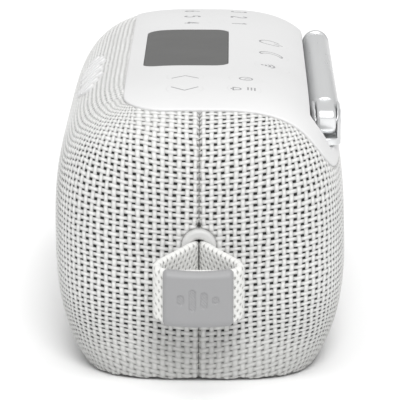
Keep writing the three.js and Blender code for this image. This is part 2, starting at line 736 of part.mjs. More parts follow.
function strapGroup() {
  const group = new THREE.Group();
  group.add(piece("strap_bezel", strapBezel(), "panel"));
  group.add(piece("strap_bracket", strapBracket(), "steel"));
  const { x, pinRadius, pinReach } = ANCHOR;
  const pin = prismZ(circle(x, 0, pinRadius), STRAP.z - pinReach, STRAP.z + pinReach, 3);
  group.add(piece("strap_anchor_pin", pin, "steel"));
  group.add(piece("strap_tail", strapTail(), "webbing"));
  const loop = new THREE.Group();
  loop.position.set(STRAP.loopStartX, 0, STRAP.z);
  loop.add(piece("strap_loop", webbingLoop(), "webbing"));
  loop.add(strapSleeve());
  group.add(loop);
  return group;
}

// ---------------------------------------------------------------- the whole speaker
const speaker = new THREE.Group();
speaker.add(caseGroup());
speaker.add(boardGroup());
speaker.add(keyGroup());
speaker.add(driver("right", DRIVER.x));
speaker.add(driver("left", -DRIVER.x));
speaker.add(radiatorGroup());
speaker.add(batteryGroup());
speaker.add(portGroup());
speaker.add(aerialGroup());
speaker.add(strapGroup());

export default speaker;
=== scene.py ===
"""A fabric-covered portable radio speaker: woven cover, smooth control panel, folding aerial and webbing loop.

Sizes are in millimetres and become metres as each mesh is made. X runs towards the carry loop, -Y is the front
and +Z is up, as in the CAD model.
"""

import math

import bmesh
import bpy
import numpy as np
from mathutils import Matrix, Vector
from mathutils.geometry import delaunay_2d_cdt


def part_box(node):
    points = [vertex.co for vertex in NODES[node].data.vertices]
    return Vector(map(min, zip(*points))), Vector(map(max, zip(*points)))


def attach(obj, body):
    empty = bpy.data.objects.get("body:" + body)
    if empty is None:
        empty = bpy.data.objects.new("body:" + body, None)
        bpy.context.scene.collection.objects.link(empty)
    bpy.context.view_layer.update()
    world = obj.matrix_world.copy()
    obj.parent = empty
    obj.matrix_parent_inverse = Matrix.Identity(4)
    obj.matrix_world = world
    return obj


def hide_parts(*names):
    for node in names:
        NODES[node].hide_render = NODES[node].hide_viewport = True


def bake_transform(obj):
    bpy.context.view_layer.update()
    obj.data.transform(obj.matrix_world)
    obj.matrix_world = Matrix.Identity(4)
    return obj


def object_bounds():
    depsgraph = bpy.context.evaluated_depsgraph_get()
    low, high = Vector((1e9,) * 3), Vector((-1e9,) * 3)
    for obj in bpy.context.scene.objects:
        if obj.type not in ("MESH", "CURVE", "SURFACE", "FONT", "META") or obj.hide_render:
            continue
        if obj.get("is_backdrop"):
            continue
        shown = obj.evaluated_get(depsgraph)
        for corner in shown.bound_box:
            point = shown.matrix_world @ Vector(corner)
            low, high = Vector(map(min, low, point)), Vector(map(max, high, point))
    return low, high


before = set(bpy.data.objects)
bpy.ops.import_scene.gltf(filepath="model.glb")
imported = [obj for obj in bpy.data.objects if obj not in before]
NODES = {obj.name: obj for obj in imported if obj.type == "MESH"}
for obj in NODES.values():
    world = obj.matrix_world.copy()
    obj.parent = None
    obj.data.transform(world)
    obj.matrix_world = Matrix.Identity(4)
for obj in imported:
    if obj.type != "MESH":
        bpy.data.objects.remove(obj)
cad_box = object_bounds()

MM = 0.001
TAU = 2 * math.pi


def box_mm(node):
    """A CAD node's lowest and highest corner, in millimetres."""
    low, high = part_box(node)
    return np.array(low) / MM, np.array(high) / MM


def middle_mm(node):
    low, high = box_mm(node)
    return (low + high) / 2


def size_mm(node):
    low, high = box_mm(node)
    return high - low


# ---------------------------------------------------------------- the camera, before anything else is made
CAMERA_PLACE = (0.9023, 0.008011, 0.2358)
CAMERA_YAW, CAMERA_PITCH, CAMERA_ROLL = 0.009503, 0.2251, 0.00248
CAMERA_LENS, CAMERA_SENSOR = 291.9, 36.0


def make_camera():
    yaw, pitch, roll = CAMERA_YAW, CAMERA_PITCH, CAMERA_ROLL
    ahead = Vector((-math.cos(pitch) * math.cos(yaw), -math.cos(pitch) * math.sin(yaw), -math.sin(pitch)))
    right = Vector((-math.sin(yaw), math.cos(yaw), 0))
    up = right.cross(ahead)
    rolled_right = right * math.cos(roll) + up * math.sin(roll)
    rolled_up = up * math.cos(roll) - right * math.sin(roll)
    turn = Matrix((rolled_right, rolled_up, -ahead)).transposed().to_4x4()
    data = bpy.data.cameras.new("camera")
    data.lens, data.sensor_width, data.clip_end = CAMERA_LENS, CAMERA_SENSOR, 50
    camera = bpy.data.objects.new("camera", data)
    camera.matrix_world = Matrix.Translation(CAMERA_PLACE) @ turn
    bpy.context.scene.collection.objects.link(camera)
    bpy.context.scene.camera = camera


make_camera()


# ---------------------------------------------------------------- procedural materials
class Value:
    """A node's output, which plain arithmetic can be done with: each operation adds a Math node."""

    def __init__(self, graph, socket):
        self.graph, self.socket = graph, socket

    def __add__(self, other):
        return self.graph.math("ADD", self, other)

    def __mul__(self, other):
        return self.graph.math("MULTIPLY", self, other)

    def __truediv__(self, other):
        return self.graph.math("DIVIDE", self, other)

    def __sub__(self, other):
        return self.graph.math("SUBTRACT", self, other)

    def __rsub__(self, other):
        return self.graph.math("SUBTRACT", other, self)

    def __abs__(self):
        return self.graph.math("ABSOLUTE", self)

    def __round__(self):
        return self.graph.math("ROUND", self)

    __radd__, __rmul__ = __add__, __mul__


class Graph:
    """A material's node tree, with short ways to add nodes to it."""

    def __init__(self, name, color, roughness, **sockets):
        self.material = bpy.data.materials.new(name)
        self.material.use_nodes = True
        self.tree = self.material.node_tree
        self.shader = self.tree.nodes["Principled BSDF"]
        self.set(self.shader, "Base Color", (*color, 1) if len(color) == 3 else color)
        self.set(self.shader, "Roughness", roughness)
        for key, value in sockets.items():
            self.set(self.shader, key.replace("_", " ").title().replace("Ior", "IOR"), value)

    def set(self, node, key, value):
        """Plugs a Value in, or sets a plain number or colour."""
        if isinstance(value, Value):
            self.tree.links.new(value.socket, node.inputs[key])
        else:
            node.inputs[key].default_value = value

    def add(self, kind, **sockets):
        """Adds a node and fills its sockets, which are named as in the interface, with _ for a space."""
        node = self.tree.nodes.new(kind)
        for key, value in sockets.items():
            self.set(node, key.replace("_", " "), value)
        return node

    def split(self, vector):
        return [Value(self, socket) for socket in self.add("ShaderNodeSeparateXYZ", Vector=vector).outputs]

    def math(self, operation, a, b=None):
        node = self.tree.nodes.new("ShaderNodeMath")
        node.operation = operation
        self.set(node, 0, a)
        if b is not None:
            self.set(node, 1, b)
        return Value(self, node.outputs[0])

    def ramp(self, value, low, high, at_low=0.0, at_high=1.0):
        """A smooth step from at_low to at_high as value goes from low to high."""
        node = self.add("ShaderNodeMapRange", Value=value, From_Min=low, From_Max=high, To_Min=at_low, To_Max=at_high)
        node.interpolation_type = "SMOOTHSTEP"
        return Value(self, node.outputs["Result"])

    def place(self, scale=(1, 1, 1)):
        """Object coordinates in metres, stretched by a factor on each axis."""
        source = Value(self, self.add("ShaderNodeTexCoord").outputs["Object"])
        return Value(self, self.add("ShaderNodeMapping", Vector=source, Scale=scale).outputs["Vector"])

    def noise(self, scale, detail=3.0, vector=None):
        vector = self.place() if vector is None else vector
        node = self.add("ShaderNodeTexNoise", Vector=vector, Scale=scale, Detail=detail, Roughness=0.55)
        return Value(self, node.outputs["Fac"])

    def mix(self, factor, a, b):
        node = self.tree.nodes.new("ShaderNodeMix")
        node.data_type = "RGBA"
        self.set(node, 0, factor)
        for key, value in ((6, a), (7, b)):
            self.set(node, key, (*value, 1) if isinstance(value, tuple) and len(value) == 3 else value)
        return Value(self, node.outputs[2])

    def bump(self, height, distance, strength=1.0):
        node = self.add("ShaderNodeBump", Height=height, Distance=distance, Strength=strength)
        return Value(self, node.outputs["Normal"])

    def attribute(self, name, output):
        node = self.tree.nodes.new("ShaderNodeAttribute")
        node.attribute_name = name
        return Value(self, node.outputs[output])

    def finish(self, color=None, roughness=None, normal=None):
        for key, value in (("Base Color", color), ("Roughness", roughness), ("Normal", normal)):
            if value is not None:
                self.set(self.shader, key, value)
        return self.material


def shade(color, factor):
    return tuple(channel * factor for channel in color)


def moulded(name, color, roughness, grain=0.004, scale=3200, tone=0.03, **sockets):
    """Moulded plastic or rubber: a fine grain, cloudy roughness and a faint change of tone."""
    g = Graph(name, color, roughness, **sockets)
    cloud = g.noise(45, 3)
    fine = g.noise(scale, 2)
    tint = g.mix(g.ramp(cloud, 0.3, 0.7), shade(color, 1 - tone), shade(color, 1 + tone / 2))
    return g.finish(tint, roughness - 0.05 + cloud * 0.1, g.bump(fine, grain * MM))


def metal(name, color, roughness, stretch, streak=0.06, sides=1.0, **sockets):
    """Drawn or turned metal: fine streaks along the axis that stretch leaves long, with painted shade on its flanks,
    where sides scales the colour.
    """
    g = Graph(name, color, roughness, **{"metallic": 1.0, **sockets})
    streaks = g.noise(1.0, 2, g.place(stretch))
    smudge = g.noise(60, 3)
    tint = g.mix(streaks, shade(color, 1 - streak), color)
    # painted shade: the colour is darkened by sides on the flanks that face sideways across the axis
    if sides < 1:
        normal = Value(g, g.add("ShaderNodeTexCoord").outputs["Normal"])
        flank = g.ramp(abs(g.split(normal)[1]), 0.25, 0.95)
        tint = g.mix(flank, tint, shade(color, sides))
    rough = roughness - 0.06 + (streaks * 0.08 + smudge * 0.06)
    return g.finish(tint, rough, g.bump(streaks, 0.001 * MM, 0.2))


WEAVE_U, WEAVE_V = 2.1, 1.5  # spacing of the cover's openings round the case and up it
WARP_HALF, WEFT_HALF = 0.3, 0.36  # half widths of the upright and the level yarns, as shares of that spacing
OVER = 0.28  # how much a yarn rises where it crosses over the other, as a share of its height
SNAKE = 0.085  # how far a level yarn wanders up and down, as a share of its spacing
TIGHTEN = 0.12  # how much wider the yarns lie where the cloth is pulled closed
YARN_DEPTH = 0.42  # the relief's depth from a crest to an opening


def woven_cover():
    """A coarse plain weave of off-white yarn, with openings that are tall and short in turn."""
    g = Graph("woven_cover", (0.8, 0.8, 0.79), 0.85, sheen_weight=0.2, sheen_roughness=0.5, specular_ior_level=0.2)
    place = g.attribute("cloth", "Vector")
    round_cover, up_cover, stillness = g.split(place)
    closed = g.attribute("closed", "Fac")
    u, v = round_cover / WEAVE_U, up_cover / WEAVE_V
    sin_u, cos_u, sin_v = g.math("SINE", u * math.pi), g.math("COSINE", u * math.pi), g.math("SINE", v * math.pi)
    over = sin_u * sin_v
    v = v - cos_u * sin_v * SNAKE
    yarns = []
    for at, half, sign in ((u, WARP_HALF, OVER), (v, WEFT_HALF, -OVER)):
        away = 0.5 - abs(at - round(at))
        share = g.math("MINIMUM", away / (half + closed * TIGHTEN), 1.0)
        yarns.append(g.math("SQRT", 1.0 - share * share) * (1 - OVER + over * sign))
    crest = g.math("MAXIMUM", *yarns)
    fibre = g.noise(3.4, 3, place)
    tuft = g.noise(0.75, 2, place)
    deep = crest + (fibre - 0.5) * 0.3
    color = g.mix(g.ramp(tuft, 0.3, 0.7), (0.69, 0.69, 0.682), (0.79, 0.79, 0.78))
    # painted shade: the yarn is darkened towards grey in the weave's hollows, where the relief lies low
    color = g.mix(g.ramp(deep, 0.3, 0.95), (0.42, 0.42, 0.412), color)
    # painted shade: the cloth is darker towards the bottom, over the lowest 30 mm and most at the foot
    painted_bottom_shade = g.ramp(g.split(g.place())[2], 0.0, 0.03, 0.42, 0.0)  # the lowest 30 mm, most at the foot
    color = g.mix(painted_bottom_shade, color, (0.30, 0.30, 0.285))
    # The openings are painted near-black: partly the dark parts inside the case seen through them, partly painted
    # shade for the depth behind the cloth.
    bare = g.ramp(deep, 0.12, 0.45, 1.0, 0.0)
    shown = (1.0 - stillness) * g.ramp(closed, 0.2, 1.0, 1.0, 0.35)
    color = g.mix(bare * shown, color, (0.02, 0.02, 0.02))
    return g.finish(color, None, g.bump(crest + fibre * 0.3, 0.3 * MM, 0.85))


WEB_S, WEB_Z = 1.5, 2.5  # spacing of the webbing's openings along it and across it


def webbing_weave():
    """Thick braided webbing with small staggered openings."""
    yarn = (0.78, 0.78, 0.76)
    g = Graph("webbing_weave", yarn, 0.85, sheen_weight=0.3, sheen_roughness=0.5, specular_ior_level=0.2)
    along, up = g.split(g.attribute("cloth", "Vector"))[:2]
    s, z = along / WEB_S, up / WEB_Z
    masks = []
    for shift in (0.0, 0.5):
        ds, dz = (cell + shift - round(cell + shift) for cell in (s, z))
        masks.append(g.ramp(abs(ds / 0.2) + abs(dz / 0.24), 0.3, 1.15, 1.0, 0.0))
    opening = g.math("MAXIMUM", *masks)
    braid = g.math("MAXIMUM", *(abs(g.math("SINE", (s + z * sign) * math.pi)) for sign in (1.0, -1.0)))
    strands = g.noise(1.0, 2, g.place((3500, 3500, 900)))
    color = g.mix(strands, shade(yarn, 0.88), (0.8, 0.8, 0.78))
    # painted shade: the openings of the braid are darkened towards grey
    color = g.mix(opening * 0.6, color, (0.22, 0.22, 0.2))
    return g.finish(color, None, g.bump(braid * 0.6 + strands * 0.45 - opening * 0.8, 0.3 * MM, 0.9))


def circuit_board():
    g = Graph("circuit_board", (0.02, 0.16, 0.07), 0.45, coat_weight=0.3)
    tracks = g.add("ShaderNodeTexVoronoi", Vector=g.place(), Scale=420)
    tracks.distance, tracks.feature = "MANHATTAN", "DISTANCE_TO_EDGE"
    line = g.ramp(Value(g, tracks.outputs["Distance"]), 0.02, 0.06, 1.0, 0.0)
    color = g.mix(line, (0.015, 0.12, 0.05), (0.05, 0.3, 0.12))
    return g.finish(color, None, g.bump(line, 0.03 * MM))


def paper_cone():
    g = Graph("paper_cone", (0.03, 0.03, 0.032), 0.8)
    pulp = g.noise(1400, 4)
    return g.finish(g.mix(pulp, (0.02, 0.02, 0.022), (0.06, 0.06, 0.065)), None, g.bump(pulp, 0.05 * MM))


def battery_wrap():
    g = Graph("battery_wrap", (0.05, 0.13, 0.38), 0.35, coat_weight=0.5)
    creases = g.noise(1.0, 3, g.place((60, 700, 700)))
    return g.finish(g.mix(creases, (0.04, 0.1, 0.3), (0.07, 0.18, 0.5)), None, g.bump(creases, 0.05 * MM))


PANEL_WHITE = (0.71, 0.71, 0.71)
MATERIALS = {
    "cover": woven_cover(),
    "webbing": webbing_weave(),
    "panel": moulded("satin_white_plastic", PANEL_WHITE, 0.42, 0.002, 4200, 0.012, specular_ior_level=0.4),
    "key": moulded("key_plastic", PANEL_WHITE, 0.4, 0.002, 5200, 0.01, specular_ior_level=0.4),
    "bezel": moulded("bezel_plastic", (0.6, 0.6, 0.592), 0.45, 0.003, 3600, 0.02, specular_ior_level=0.35),
    "shell": moulded("shell_plastic", (0.7, 0.7, 0.69), 0.55, 0.01, 2600),
    "dark": moulded("dark_plastic", (0.025, 0.025, 0.027), 0.6, 0.01, 2600),
    "seam": moulded("seam_tape", (0.05, 0.05, 0.047), 0.9, 0.04, 1500),
    "rubber": moulded("grey_rubber", (0.305, 0.305, 0.31), 0.48, 0.008, 2400, 0.02, specular_ior_level=0.5),
    "foot": moulded("foot_rubber", (0.36, 0.36, 0.365), 0.8, 0.03, 900, 0.05),
    "print": moulded("icon_print", (0.33, 0.33, 0.335), 0.55, 0.002, 3000),
    "window": moulded("window_tint", (0.062, 0.062, 0.06), 0.3, 0.001, 2500, 0.01, specular_ior_level=0.18),
    "silver": metal("satin_silver", (0.86, 0.87, 0.875), 0.28, (25, 900, 900), 0.05, sides=0.72, metallic=0.8),
    "steel": metal("plain_steel", (0.6, 0.6, 0.61), 0.38, (900, 900, 900)),
    "magnet": metal("magnet_metal", (0.3, 0.3, 0.32), 0.5, (700, 700, 700), 0.15),
    "board": circuit_board(),
    "cone": paper_cone(),
    "battery": battery_wrap(),
    "thread": moulded("seam_thread", (0.6, 0.6, 0.57), 0.85, 0.05, 1800, 0.1),
}


# ---------------------------------------------------------------- mesh making
class Build:
    """Points and faces gathered for one mesh, in millimetres."""

    def __init__(self):
        self.points, self.faces, self.normals, self.count = [], [], [], 0

    def add(self, points, faces, normals=None):
        points = np.asarray(points, float).reshape(-1, 3)
        start = self.count
        self.points.append(points)
        self.normals.append(None if normals is None else np.asarray(normals, float).reshape(-1, 3))
        self.faces.extend([tuple(int(i) + start for i in face) for face in faces])
        self.count += len(points)
        return start

    def mesh(self, name):
        data = bpy.data.meshes.new(name)
        data.from_pydata((np.concatenate(self.points) * MM).tolist(), [], self.faces)
        data.polygons.foreach_set("use_smooth", np.ones(len(data.polygons), bool))
        data.update()
        form = bmesh.new()
        form.from_mesh(data)
        if form.calc_volume(signed=True) < 0:
            data.flip_normals()
        form.free()
        if all(n is not None for n in self.normals):
            data.normals_split_custom_set_from_vertices(unit(np.concatenate(self.normals)).tolist())
        return data


def piece(name, data, body, material, slot=None, replaces=()):
    """A visible piece that rides on a CAD body."""
    if isinstance(data, Build):
        data = data.mesh(name)
    data.name = name
    made = bpy.data.objects.new(name, data)
    bpy.context.scene.collection.objects.link(made)
    data.materials.clear()
    data.materials.append(MATERIALS[material])
    if body:
        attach(made, body)
    if replaces:
        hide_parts(*replaces)
    return made


def store(data, name, kind, key, values):
    """Keeps a value for each point of a mesh, which its material reads."""
    data.attributes.new(name, kind, "POINT").data.foreach_set(key, values.astype(np.float32).ravel())


def unit(vectors):
    return vectors / np.maximum(np.linalg.norm(vectors, axis=-1, keepdims=True), 1e-9)


def left_of(path):
    """Unit vectors that point to the left of a path in its plane."""
    ahead = unit(np.gradient(path, axis=0))
    return np.column_stack([-ahead[:, 1], ahead[:, 0]])


def distance_along(points):
    return np.concatenate([[0], np.cumsum(np.linalg.norm(np.diff(points, axis=0), axis=1))])


def grid_faces(rows, columns, keep=None, wrap=False, flip=False):
    """Quads over a rows by columns grid; keep is a mask of the vertices that may be used."""
    index = np.arange(rows * columns).reshape(rows, columns)
    if wrap:
        index = np.concatenate([index, index[:, :1]], axis=1)
    quads = np.stack([index[:-1, :-1], index[:-1, 1:], index[1:, 1:], index[1:, :-1]], -1).reshape(-1, 4)
    if keep is not None:
        quads = quads[keep.ravel()[quads].all(axis=1)]
    return quads[:, ::-1] if flip else quads


def volume(points, faces):
    """The volume inside a closed mesh of quads or triangles; less than zero when it is inside out."""
    corners = (points - points.mean(axis=0))[np.asarray(faces)]
    total = 0.0
    for i in range(1, corners.shape[1] - 1):
        total += (corners[:, 0] * np.cross(corners[:, i], corners[:, i + 1])).sum() / 6
    return total


def smoothstep(low, high, value):
    t = np.clip((value - low) / (high - low), 0, 1)
    return t * t * (3 - 2 * t)


def turned(profile, origin, along, across, segments):
    """A surface of revolution; the profile is pairs of radius and distance along the axis."""
    along, across = np.array(along, float), np.array(across, float)
    third = np.cross(along, across)
    profile = np.array(profile, float)
    angle = np.arange(segments) * TAU / segments
    ring = np.cos(angle)[:, None] * across + np.sin(angle)[:, None] * third
    points = np.array(origin, float) + profile[:, None, 1:2] * along + profile[:, None, 0:1] * ring[None]
    points, faces = points.reshape(-1, 3), grid_faces(len(profile), segments, wrap=True)
    return points, faces if volume(points, faces) > 0 else faces[:, ::-1]


def arc(x, y, radius, first, last, points=20):
    angle = np.radians(np.linspace(first, last, points))
    return np.column_stack([x + radius * np.cos(angle), y + radius * np.sin(angle)])


def rounded_rectangle(x, y, width, height, radius, step=0.35):
    """A closed outline, anticlockwise, with points about step apart."""
    across, up = width / 2 - radius, height / 2 - radius
    points = max(3, int(math.radians(90) * radius / step) + 1) + 1
    corners = ((1, -1, -90), (1, 1, 0), (-1, 1, 90), (-1, -1, 180))
    turns = [arc(x + sx * across, y + sy * up, radius, first, first + 90, points) for sx, sy, first in corners]
    return spread(np.concatenate(turns), step)


def spread(loop, step):
    """Adds points along a closed loop's long edges, so that none is much longer than step."""
    made = []
    for here, there in zip(loop, np.roll(loop, -1, axis=0)):
        length = np.linalg.norm(there - here)
        if length < 1e-6:
            continue
        n = max(1, int(round(length / step)))
        for i in range(n):
            made.append(here + (there - here) * i / n)
    return np.array(made)


def anticlockwise(loop):
    loop = np.array(loop, float)
    x, y = loop.T
    return loop if (x * np.roll(y, -1) - y * np.roll(x, -1)).sum() > 0 else loop[::-1]


def outward(loop):
    """Unit vectors that point out of a closed anticlockwise loop, one at each point."""
    edge = unit(np.roll(loop, -1, axis=0) - loop)
    normal = np.stack([edge[:, 1], -edge[:, 0]], axis=1)
    return unit(normal + np.roll(normal, 1, axis=0))


def inside(points, loop):
    """True for the points within a closed loop."""
    x, y = points[:, 0:1], points[:, 1:2]
    x0, y0 = loop[None, :, 0], loop[None, :, 1]
    x1, y1 = np.roll(loop, -1, axis=0)[None, :, 0], np.roll(loop, -1, axis=0)[None, :, 1]
    crosses = (y0 > y) != (y1 > y)
    at = x0 + (y - y0) * (x1 - x0) / np.where(y1 == y0, 1e-12, y1 - y0)
    return (crosses & (x < at)).sum(axis=1) % 2 == 1


FILLET_STEPS = (0.0, 0.12, 0.35, 0.65, 1.0)  # shares of the fillet's radius, from the edge inwards


def plate(surface, outline, holes, thickness, fillet, grid=1.6, top=0.0, both=False, plumb=False):
    """A sheet with rounded edges, laid on a surface; both rounds its underside as well.

    With plumb, its edges stand upright wherever it faces mostly up, so that a key slides straight down in its hole.

    surface(points, depth) gives places and outward directions for points of the outline's own plane, and
    thickness is a number or a function of those points.
    """
    loops = [(anticlockwise(outline), -1)] + [(anticlockwise(hole), 1) for hole in holes]
    fillets = fillet if isinstance(fillet, list) else [fillet] * len(loops)
    flat, depth, tilt, side, edges, rims = [], [], [], [], [], []
    count = 0
    for (loop, sign), fillet in zip(loops, fillets):
        away = outward(loop) * -sign  # from the sheet out over its edge
        for share in FILLET_STEPS:
            ring = loop - away * fillet * share
            n = len(ring)
            flat.append(ring)
            drop = fillet - fillet * math.sqrt(max(0.0, 1 - (1 - share) ** 2))
            depth.append(np.full(n, top + drop))
            tilt.append(np.full(n, 1 - share))
            side.append(away)
            index = count + np.arange(n)
            edges.extend(zip(index.tolist(), np.roll(index, -1).tolist()))
            if share == 0:
                rims.append(index)
            count += n
    flat, side = np.concatenate(flat), np.concatenate(side)
    low, high = flat.min(axis=0), flat.max(axis=0)
    xs = np.arange(low[0] + grid / 2, high[0], grid)
    ys = np.arange(low[1] + grid / 2, high[1], grid)
    mesh = np.stack(np.meshgrid(xs, ys), -1).reshape(-1, 2)
    mesh = mesh[inside(mesh, loops[0][0])]
    for hole, _ in loops[1:]:
        mesh = mesh[~inside(mesh, hole)]
    clear = max(fillets) + 0.35 * grid
    close_by = np.array([((flat - p) ** 2).sum(axis=1).min() for p in mesh]) if len(mesh) else np.zeros(0)
    mesh = mesh[close_by > clear**2] if len(mesh) else mesh
    plane = np.concatenate([flat, mesh])
    depth = np.concatenate([*depth, np.full(len(mesh), top)])
    tilt = np.concatenate([*tilt, np.zeros(len(mesh))])
    side = np.concatenate([side, np.zeros((len(mesh), 2))])
    found = delaunay_2d_cdt([Vector(p) for p in plane.tolist()], edges, [], 0, 1e-7, True)
    source = [origin[0] if origin else -1 for origin in found[3]]
    tris = np.array([[source[i] for i in corners] for corners in found[2]])
    tris = tris[(tris >= 0).all(axis=1)]
    middle = plane[tris].mean(axis=1)
    good = inside(middle, loops[0][0])
    for hole, _ in loops[1:]:
        good &= ~inside(middle, hole)
    tris = tris[good]
    a, b, c = plane[tris[:, 0]], plane[tris[:, 1]], plane[tris[:, 2]]
    turn = (b - a)[:, 0] * (c - a)[:, 1] - (b - a)[:, 1] * (c - a)[:, 0]
    tris[turn < 0] = tris[turn < 0][:, ::-1]
    build = Build()
    places, out = surface(plane, depth)
    a, b, c = places[tris[:, 0]], places[tris[:, 1]], places[tris[:, 2]]
    if ((np.cross(b - a, c - a) * out[tris[:, 0]]).sum(axis=1) < 0).mean() > 0.5:
        tris = tris[:, ::-1]
    sideways = unit(surface(plane + side * 0.01, depth)[0] - places)
    lean = np.sqrt(np.clip(1 - tilt**2, 0, 1))[:, None]
    build.add(places, tris, out * lean + sideways * tilt[:, None])
    thick = thickness(plane) if callable(thickness) else np.full(len(plane), float(thickness))
    under = top + thick - (depth - top if both else 0)
    bottom = surface(plane, under)[0]
    if plumb:
        upright = smoothstep(0.6, 0.8, out[:, 2:3])
        bottom = places - (out * (1 - upright) + np.array([0.0, 0.0, 1.0]) * upright) * (under - depth)[:, None]
    build.add(bottom, tris[:, ::-1], (sideways * tilt[:, None] - out * lean) if both else -out)
    for index in rims:
        n = len(index)
        upper, lower = places[index], bottom[index]
        facing = sideways[index]
        start = build.add(np.concatenate([upper, lower]), [], np.concatenate([facing, facing]))
        walls = np.cross(lower - upper, np.roll(upper, -1, axis=0) - upper)
        backwards = ((walls * facing).sum(axis=1) < 0).mean() > 0.5
        for i in range(n):
            j = (i + 1) % n
            quad = (start + i, start + n + i, start + n + j, start + j)
            build.faces.append(quad[::-1] if backwards else quad)
    return build


# ---------------------------------------------------------------- the case's outer form
HALF_LENGTH, HALF_WIDTH, MIDDLE_Z = 86.0, 39.2, 30.3
RISE, DROP, END_POWER, LEAN = 44.3, 45.1, 6.1, -0.018
POWERS = {"upper_front": 3.16, "upper_rear": 3.45, "lower_front": 2.41, "lower_rear": 2.33}


def section_power(y, z):
    upper = np.where(y >= 0, POWERS["upper_rear"], POWERS["upper_front"])
    lower = np.where(y >= 0, POWERS["lower_rear"], POWERS["lower_front"])
    return np.where(z >= 0, upper, lower)


def case_level(points):
    """1 on the case's surface and less inside it."""
    z = points[..., 2] - MIDDLE_Z
    y = points[..., 1] - LEAN * z
    power = section_power(y, z)
    rise = np.where(z >= 0, RISE, DROP)
    ring = (np.abs(y / HALF_WIDTH) ** power + np.abs(z / rise) ** power) ** (1 / power)
    return np.abs(points[..., 0] / HALF_LENGTH) ** END_POWER + ring**END_POWER


def case_normal(points):
    x, z = points[..., 0], points[..., 2] - MIDDLE_Z
    y = points[..., 1] - LEAN * z
    power = section_power(y, z)
    rise = np.where(z >= 0, RISE, DROP)
    a, b = np.abs(y / HALF_WIDTH) + 1e-9, np.abs(z / rise) + 1e-9
    ring = (a**power + b**power) ** (1 / power)
    by_ring = END_POWER * ring ** (END_POWER - 1) * ring ** (1 - power)
    slope_y = by_ring * a ** (power - 1) * np.sign(y) / HALF_WIDTH
    slope_z = by_ring * b ** (power - 1) * np.sign(z) / rise
    slope_x = END_POWER * np.abs(x / HALF_LENGTH) ** (END_POWER - 1) * np.sign(x) / HALF_LENGTH
    return unit(np.stack([slope_x, slope_y, slope_z - LEAN * slope_y], -1))


def case_hit(origin, direction, furthest=150.0):
    """The distance from points inside the case to its surface."""
    low, high = np.zeros(origin.shape[:-1]), np.full(origin.shape[:-1], furthest)
    for _ in range(34):
        middle = (low + high) / 2
        within = case_level(origin + direction * middle[..., None]) < 1
        low, high = np.where(within, middle, low), np.where(within, high, middle)
    return (low + high) / 2


def case_shrink(x):
    return (1 - np.clip(np.abs(x) / HALF_LENGTH, 0, 0.99999) ** END_POWER) ** (1 / END_POWER)


def section_table():
    """The middle section by its length from the crown, which is less than zero towards the front."""
    angle = np.radians(np.linspace(90 + 140, 90 - 140, 6001))
    cos, sin = np.cos(angle), np.sin(angle)
    power = section_power(cos, sin)
    reach = (np.abs(cos) ** power + np.abs(sin) ** power) ** (-1 / power)
    z = np.where(sin >= 0, RISE, DROP) * sin * reach
    y = HALF_WIDTH * cos * reach + LEAN * z
    length = np.concatenate([[0], np.cumsum(np.hypot(np.diff(y), np.diff(z)))])
    return length - length[3000], y, z


SECTION_Q, SECTION_Y, SECTION_Z = section_table()
CROWN = int(np.argmax(SECTION_Z))
WIDEST_FRONT, WIDEST_REAR = int(np.argmin(SECTION_Y)), int(np.argmax(SECTION_Y))


def from_plan(x, y):
    """The section length at which the upper case stands over a plan point."""
    part = slice(WIDEST_FRONT, WIDEST_REAR + 1)
    return np.interp(y / case_shrink(x), SECTION_Y[part], SECTION_Q[part])


def from_rear(x, z):
    """The section length at which the rear face is at a height."""
    part = slice(CROWN, None)
    return np.interp(-(z - MIDDLE_Z) / case_shrink(x), -SECTION_Z[part], SECTION_Q[part])


def on_case(plane, depth):
    """Places on the case for pairs of X and section length, sunk by depth, and the outward directions."""
    x, q = plane[:, 0], plane[:, 1]
    shrink = case_shrink(x)
    y = shrink * np.interp(q, SECTION_Q, SECTION_Y)
    z = MIDDLE_Z + shrink * np.interp(q, SECTION_Q, SECTION_Z)
    points = np.stack([x, y, z], -1)
    normal = case_normal(points)
    return points - normal * np.asarray(depth)[:, None], normal


def plan_loop(loop):
    """X and section length for points over the case in plan; rear_loop does it for X and Z on the rear face."""
    return np.stack([loop[:, 0], from_plan(loop[:, 0], loop[:, 1])], -1)


def rear_loop(loop):
    return np.stack([loop[:, 0], from_rear(loop[:, 0], loop[:, 1])], -1)


# ---------------------------------------------------------------- openings in the woven cover
PANEL_END, PANEL_FRONT, PANEL_HEM, PANEL_CORNER, FRONT_CORNER = 75.5, -20.3, 53.9, 9.0, 12.0


def box_distance(u, v, centre, size, radius):
    """How far inside a rounded rectangle a point is; less than zero outside."""
    du = np.abs(u - centre[0]) - (size[0] / 2 - radius)
    dv = np.abs(v - centre[1]) - (size[1] / 2 - radius)
    outside = np.hypot(np.maximum(du, 0), np.maximum(dv, 0))
    return radius - outside - np.minimum(np.maximum(du, dv), 0)


BEZEL_LOW, BEZEL_HIGH = box_mm("strap_bezel")
BEZEL_CENTRE = (0.0, middle_mm("strap_bezel")[2])
BEZEL_SIZE = size_mm("strap_bezel")[1:]
NAME_CENTRE, NAME_SIZE = middle_mm("name_plate")[:2], (46.0, 5.4)
PORT_CENTRE, PORT_SIZE = middle_mm("port_frame")[[0, 2]], size_mm("port_frame")[[0, 2]]


def opening_depth(points):
    """How far a point of the cover is inside the nearest opening; less than zero on plain cloth."""
    x, y, z = points[..., 0], points[..., 1], points[..., 2]
    far = 400.0
    plan = box_distance(x, y, (0, PANEL_FRONT + far / 2), (2 * PANEL_END, far), FRONT_CORNER)
    rear = box_distance(x, z, (0, PANEL_HEM + far / 2), (2 * PANEL_END, far), PANEL_CORNER)
    panel = np.minimum(plan, rear)
    bezel = np.where(x > 70, box_distance(y, z, BEZEL_CENTRE, BEZEL_SIZE, 4.4), -far)
    port = np.where(y > 20, box_distance(x, z, PORT_CENTRE, PORT_SIZE, 3.0), -far)
    return np.maximum(np.maximum(panel, bezel), port), panel, bezel


